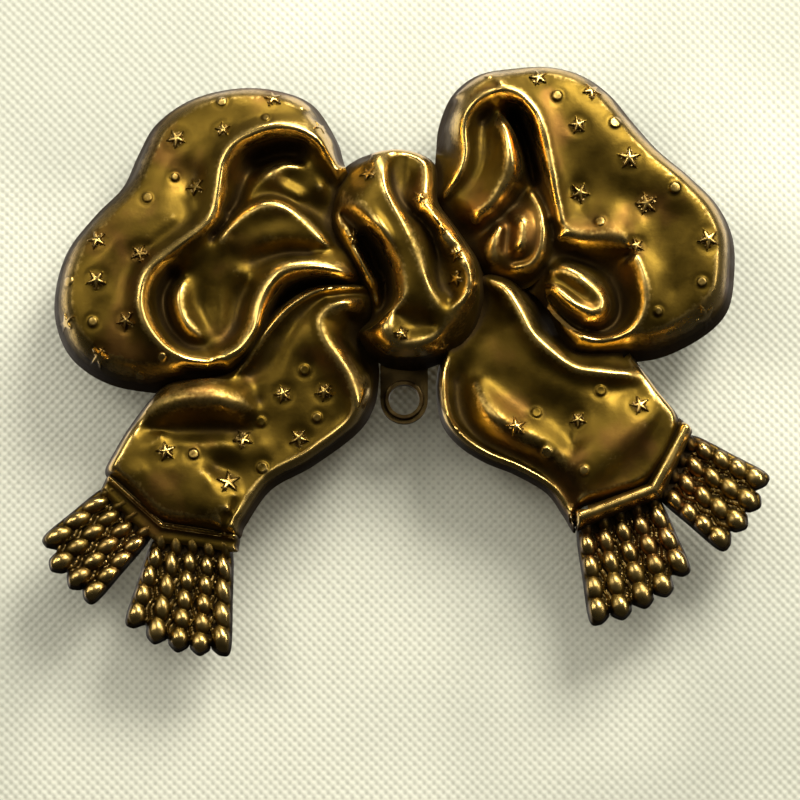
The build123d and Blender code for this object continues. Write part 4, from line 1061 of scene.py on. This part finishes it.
THREAD = 0.85                 # pitch of the cloth's weave
CLOTH = (0.59, 0.59, 0.485)
# painted shade: the grey that stands in for the shading of the cloth's folds
CLOTH_FOLD_PAINTED_SHADE = (0.45, 0.455, 0.375)
CLOTH_GAP = (0.36, 0.36, 0.285)
FADE = (75, 150)              # distances over which the cloth thins out to nothing
LIGHTS_AIM = (0, -4, -4)      # the bow's middle
FRAME_MIDDLE = (-0.66, -3.27, 0.0)            # a drawn point
FRAME_WIDTH = 70.64           # what the view spans
VIEW_DISTANCE = 0.5           # metres


def backdrop():
    """A pale cloth wall just behind the pin, with painted shade of folds on its flat face, clear from behind
    and fading out to its sides.
    """
    wall_y = 5.4 * MM
    half = 0.4
    mesh = bpy.data.meshes.new("backdrop")
    corners = [(-half, wall_y, -half), (half, wall_y, -half), (half, wall_y, half), (-half, wall_y, half)]
    mesh.from_pydata(corners, [], [(0, 1, 2, 3)])
    wall = bpy.data.objects.new("backdrop", mesh)
    bpy.context.scene.collection.objects.link(wall)
    wall.visible_shadow = False
    wall.visible_glossy = False
    n = Nodes("pale_cloth")
    split = n.add("ShaderNodeSeparateXYZ")
    n.link(n.place, split.inputs[0])
    turns = 2 * math.pi / (THREAD * MM)
    waves = [n.math("SINE", n.math("MULTIPLY", split.outputs[axis], turns)) for axis in "XZ"]
    weave = n.math("ADD", n.math("MULTIPLY", waves[0], waves[1]), n.math("MULTIPLY", n.noise(0.5, 3.0), 0.8))
    # painted shade: soft grey patches stand in for folds in the cloth, whose wall is flat
    painted_fold_shade = n.noise(30.0, 2.0)
    shade = n.mix(n.ramp(painted_fold_shade, 0.35, 0.65), CLOTH_FOLD_PAINTED_SHADE, CLOTH)
    n.link(n.mix(n.ramp(weave, -1.4, 0.6), CLOTH_GAP, shade), n.shader.inputs["Base Color"])
    n.shader.inputs["Roughness"].default_value = 0.8
    n.link(n.bump(weave, 0.06, 0.6), n.shader.inputs["Normal"])
    clear = n.add("ShaderNodeBsdfTransparent")
    choice = n.add("ShaderNodeMixShader")
    reach = n.add("ShaderNodeVectorMath", operation="LENGTH")
    n.link(n.place, reach.inputs[0])
    faded = n.ramp(reach.outputs["Value"], *(distance * MM for distance in FADE))
    behind = n.add("ShaderNodeNewGeometry").outputs["Backfacing"]
    n.link(n.math("MAXIMUM", behind, faded), choice.inputs[0])
    n.link(n.shader.outputs[0], choice.inputs[1])
    n.link(clear.outputs[0], choice.inputs[2])
    n.link(choice.outputs[0], n.tree.nodes["Material Output"].inputs["Surface"])
    mesh.materials.append(n.material)


def softbox(name, place_mm, size_mm, watts, colour=(1.0, 0.97, 0.90)):
    """A rectangular light aimed at the bow's middle."""
    light = bpy.data.lights.new(name, "AREA")
    light.shape = "RECTANGLE"
    light.size, light.size_y = (side * MM for side in size_mm)
    light.energy = watts
    light.color = colour
    lamp = bpy.data.objects.new(name, light)
    lamp.location = Vector(place_mm) * MM
    lamp.rotation_euler = (Vector(LIGHTS_AIM) * MM - lamp.location).to_track_quat("-Z", "Y").to_euler()
    bpy.context.scene.collection.objects.link(lamp)
    return lamp


def surroundings():
    """A pale room to the camera, and a dim one with a brighter top to the metal."""
    world = bpy.data.worlds.new("room")
    world.use_nodes = True
    tree = world.node_tree
    nodes, links = tree.nodes, tree.links
    ground = nodes["Background"]
    ground.inputs["Color"].default_value = (0.86, 0.86, 0.83, 1)
    ground.inputs["Strength"].default_value = 0.62
    dim = nodes.new("ShaderNodeBackground")
    coordinates = nodes.new("ShaderNodeTexCoord")
    split = nodes.new("ShaderNodeSeparateXYZ")
    ramp = nodes.new("ShaderNodeMapRange")
    for key, number in (("From Min", -0.6), ("From Max", 1.0), ("To Min", 0.02), ("To Max", 0.16)):
        ramp.inputs[key].default_value = number
    links.new(coordinates.outputs["Generated"], split.inputs[0])
    links.new(split.outputs["Z"], ramp.inputs["Value"])
    links.new(ramp.outputs["Result"], dim.inputs["Strength"])
    dim.inputs["Color"].default_value = (0.95, 0.93, 0.86, 1)
    path = nodes.new("ShaderNodeLightPath")
    choice = nodes.new("ShaderNodeMixShader")
    links.new(path.outputs["Is Camera Ray"], choice.inputs[0])
    links.new(dim.outputs[0], choice.inputs[1])
    links.new(ground.outputs[0], choice.inputs[2])
    links.new(choice.outputs[0], nodes["World Output"].inputs["Surface"])
    bpy.context.scene.world = world


def camera():
    """A long lens, square to the bow but for the tilt from below."""
    data = bpy.data.cameras.new("camera")
    data.lens = data.sensor_width * VIEW_DISTANCE / (FRAME_WIDTH * MM)
    data.clip_start, data.clip_end = 0.01, 20.0
    view = bpy.data.objects.new("camera", data)
    middle = to_frame([FRAME_MIDDLE])[0]
    aim = Vector((middle[0] * MM, 0, middle[1] * MM))
    sight = Vector((0, math.cos(TILT), math.sin(TILT)))
    view.location = aim - sight * VIEW_DISTANCE
    view.rotation_euler = sight.to_track_quat("-Z", "Y").to_euler()
    bpy.context.scene.collection.objects.link(view)
    bpy.context.scene.camera = view


backdrop()
surroundings()
camera()
softbox("key", (130, -240, 210), (150, 150), 1.5)
softbox("front_left", (-190, -260, 90), (110, 110), 0.22)
softbox("top", (20, -90, 330), (240, 60), 0.8)
softbox("left", (-300, -160, 80), (60, 220), 0.16)
softbox("right", (300, -160, 80), (60, 220), 0.36)
softbox("fill", (-40, -420, 120), (600, 500), 1.5).visible_glossy = False
softbox("rear", (100, 380, 200), (420, 420), 0.45)
softbox("rear_left", (-260, 330, 20), (300, 300), 0.22)
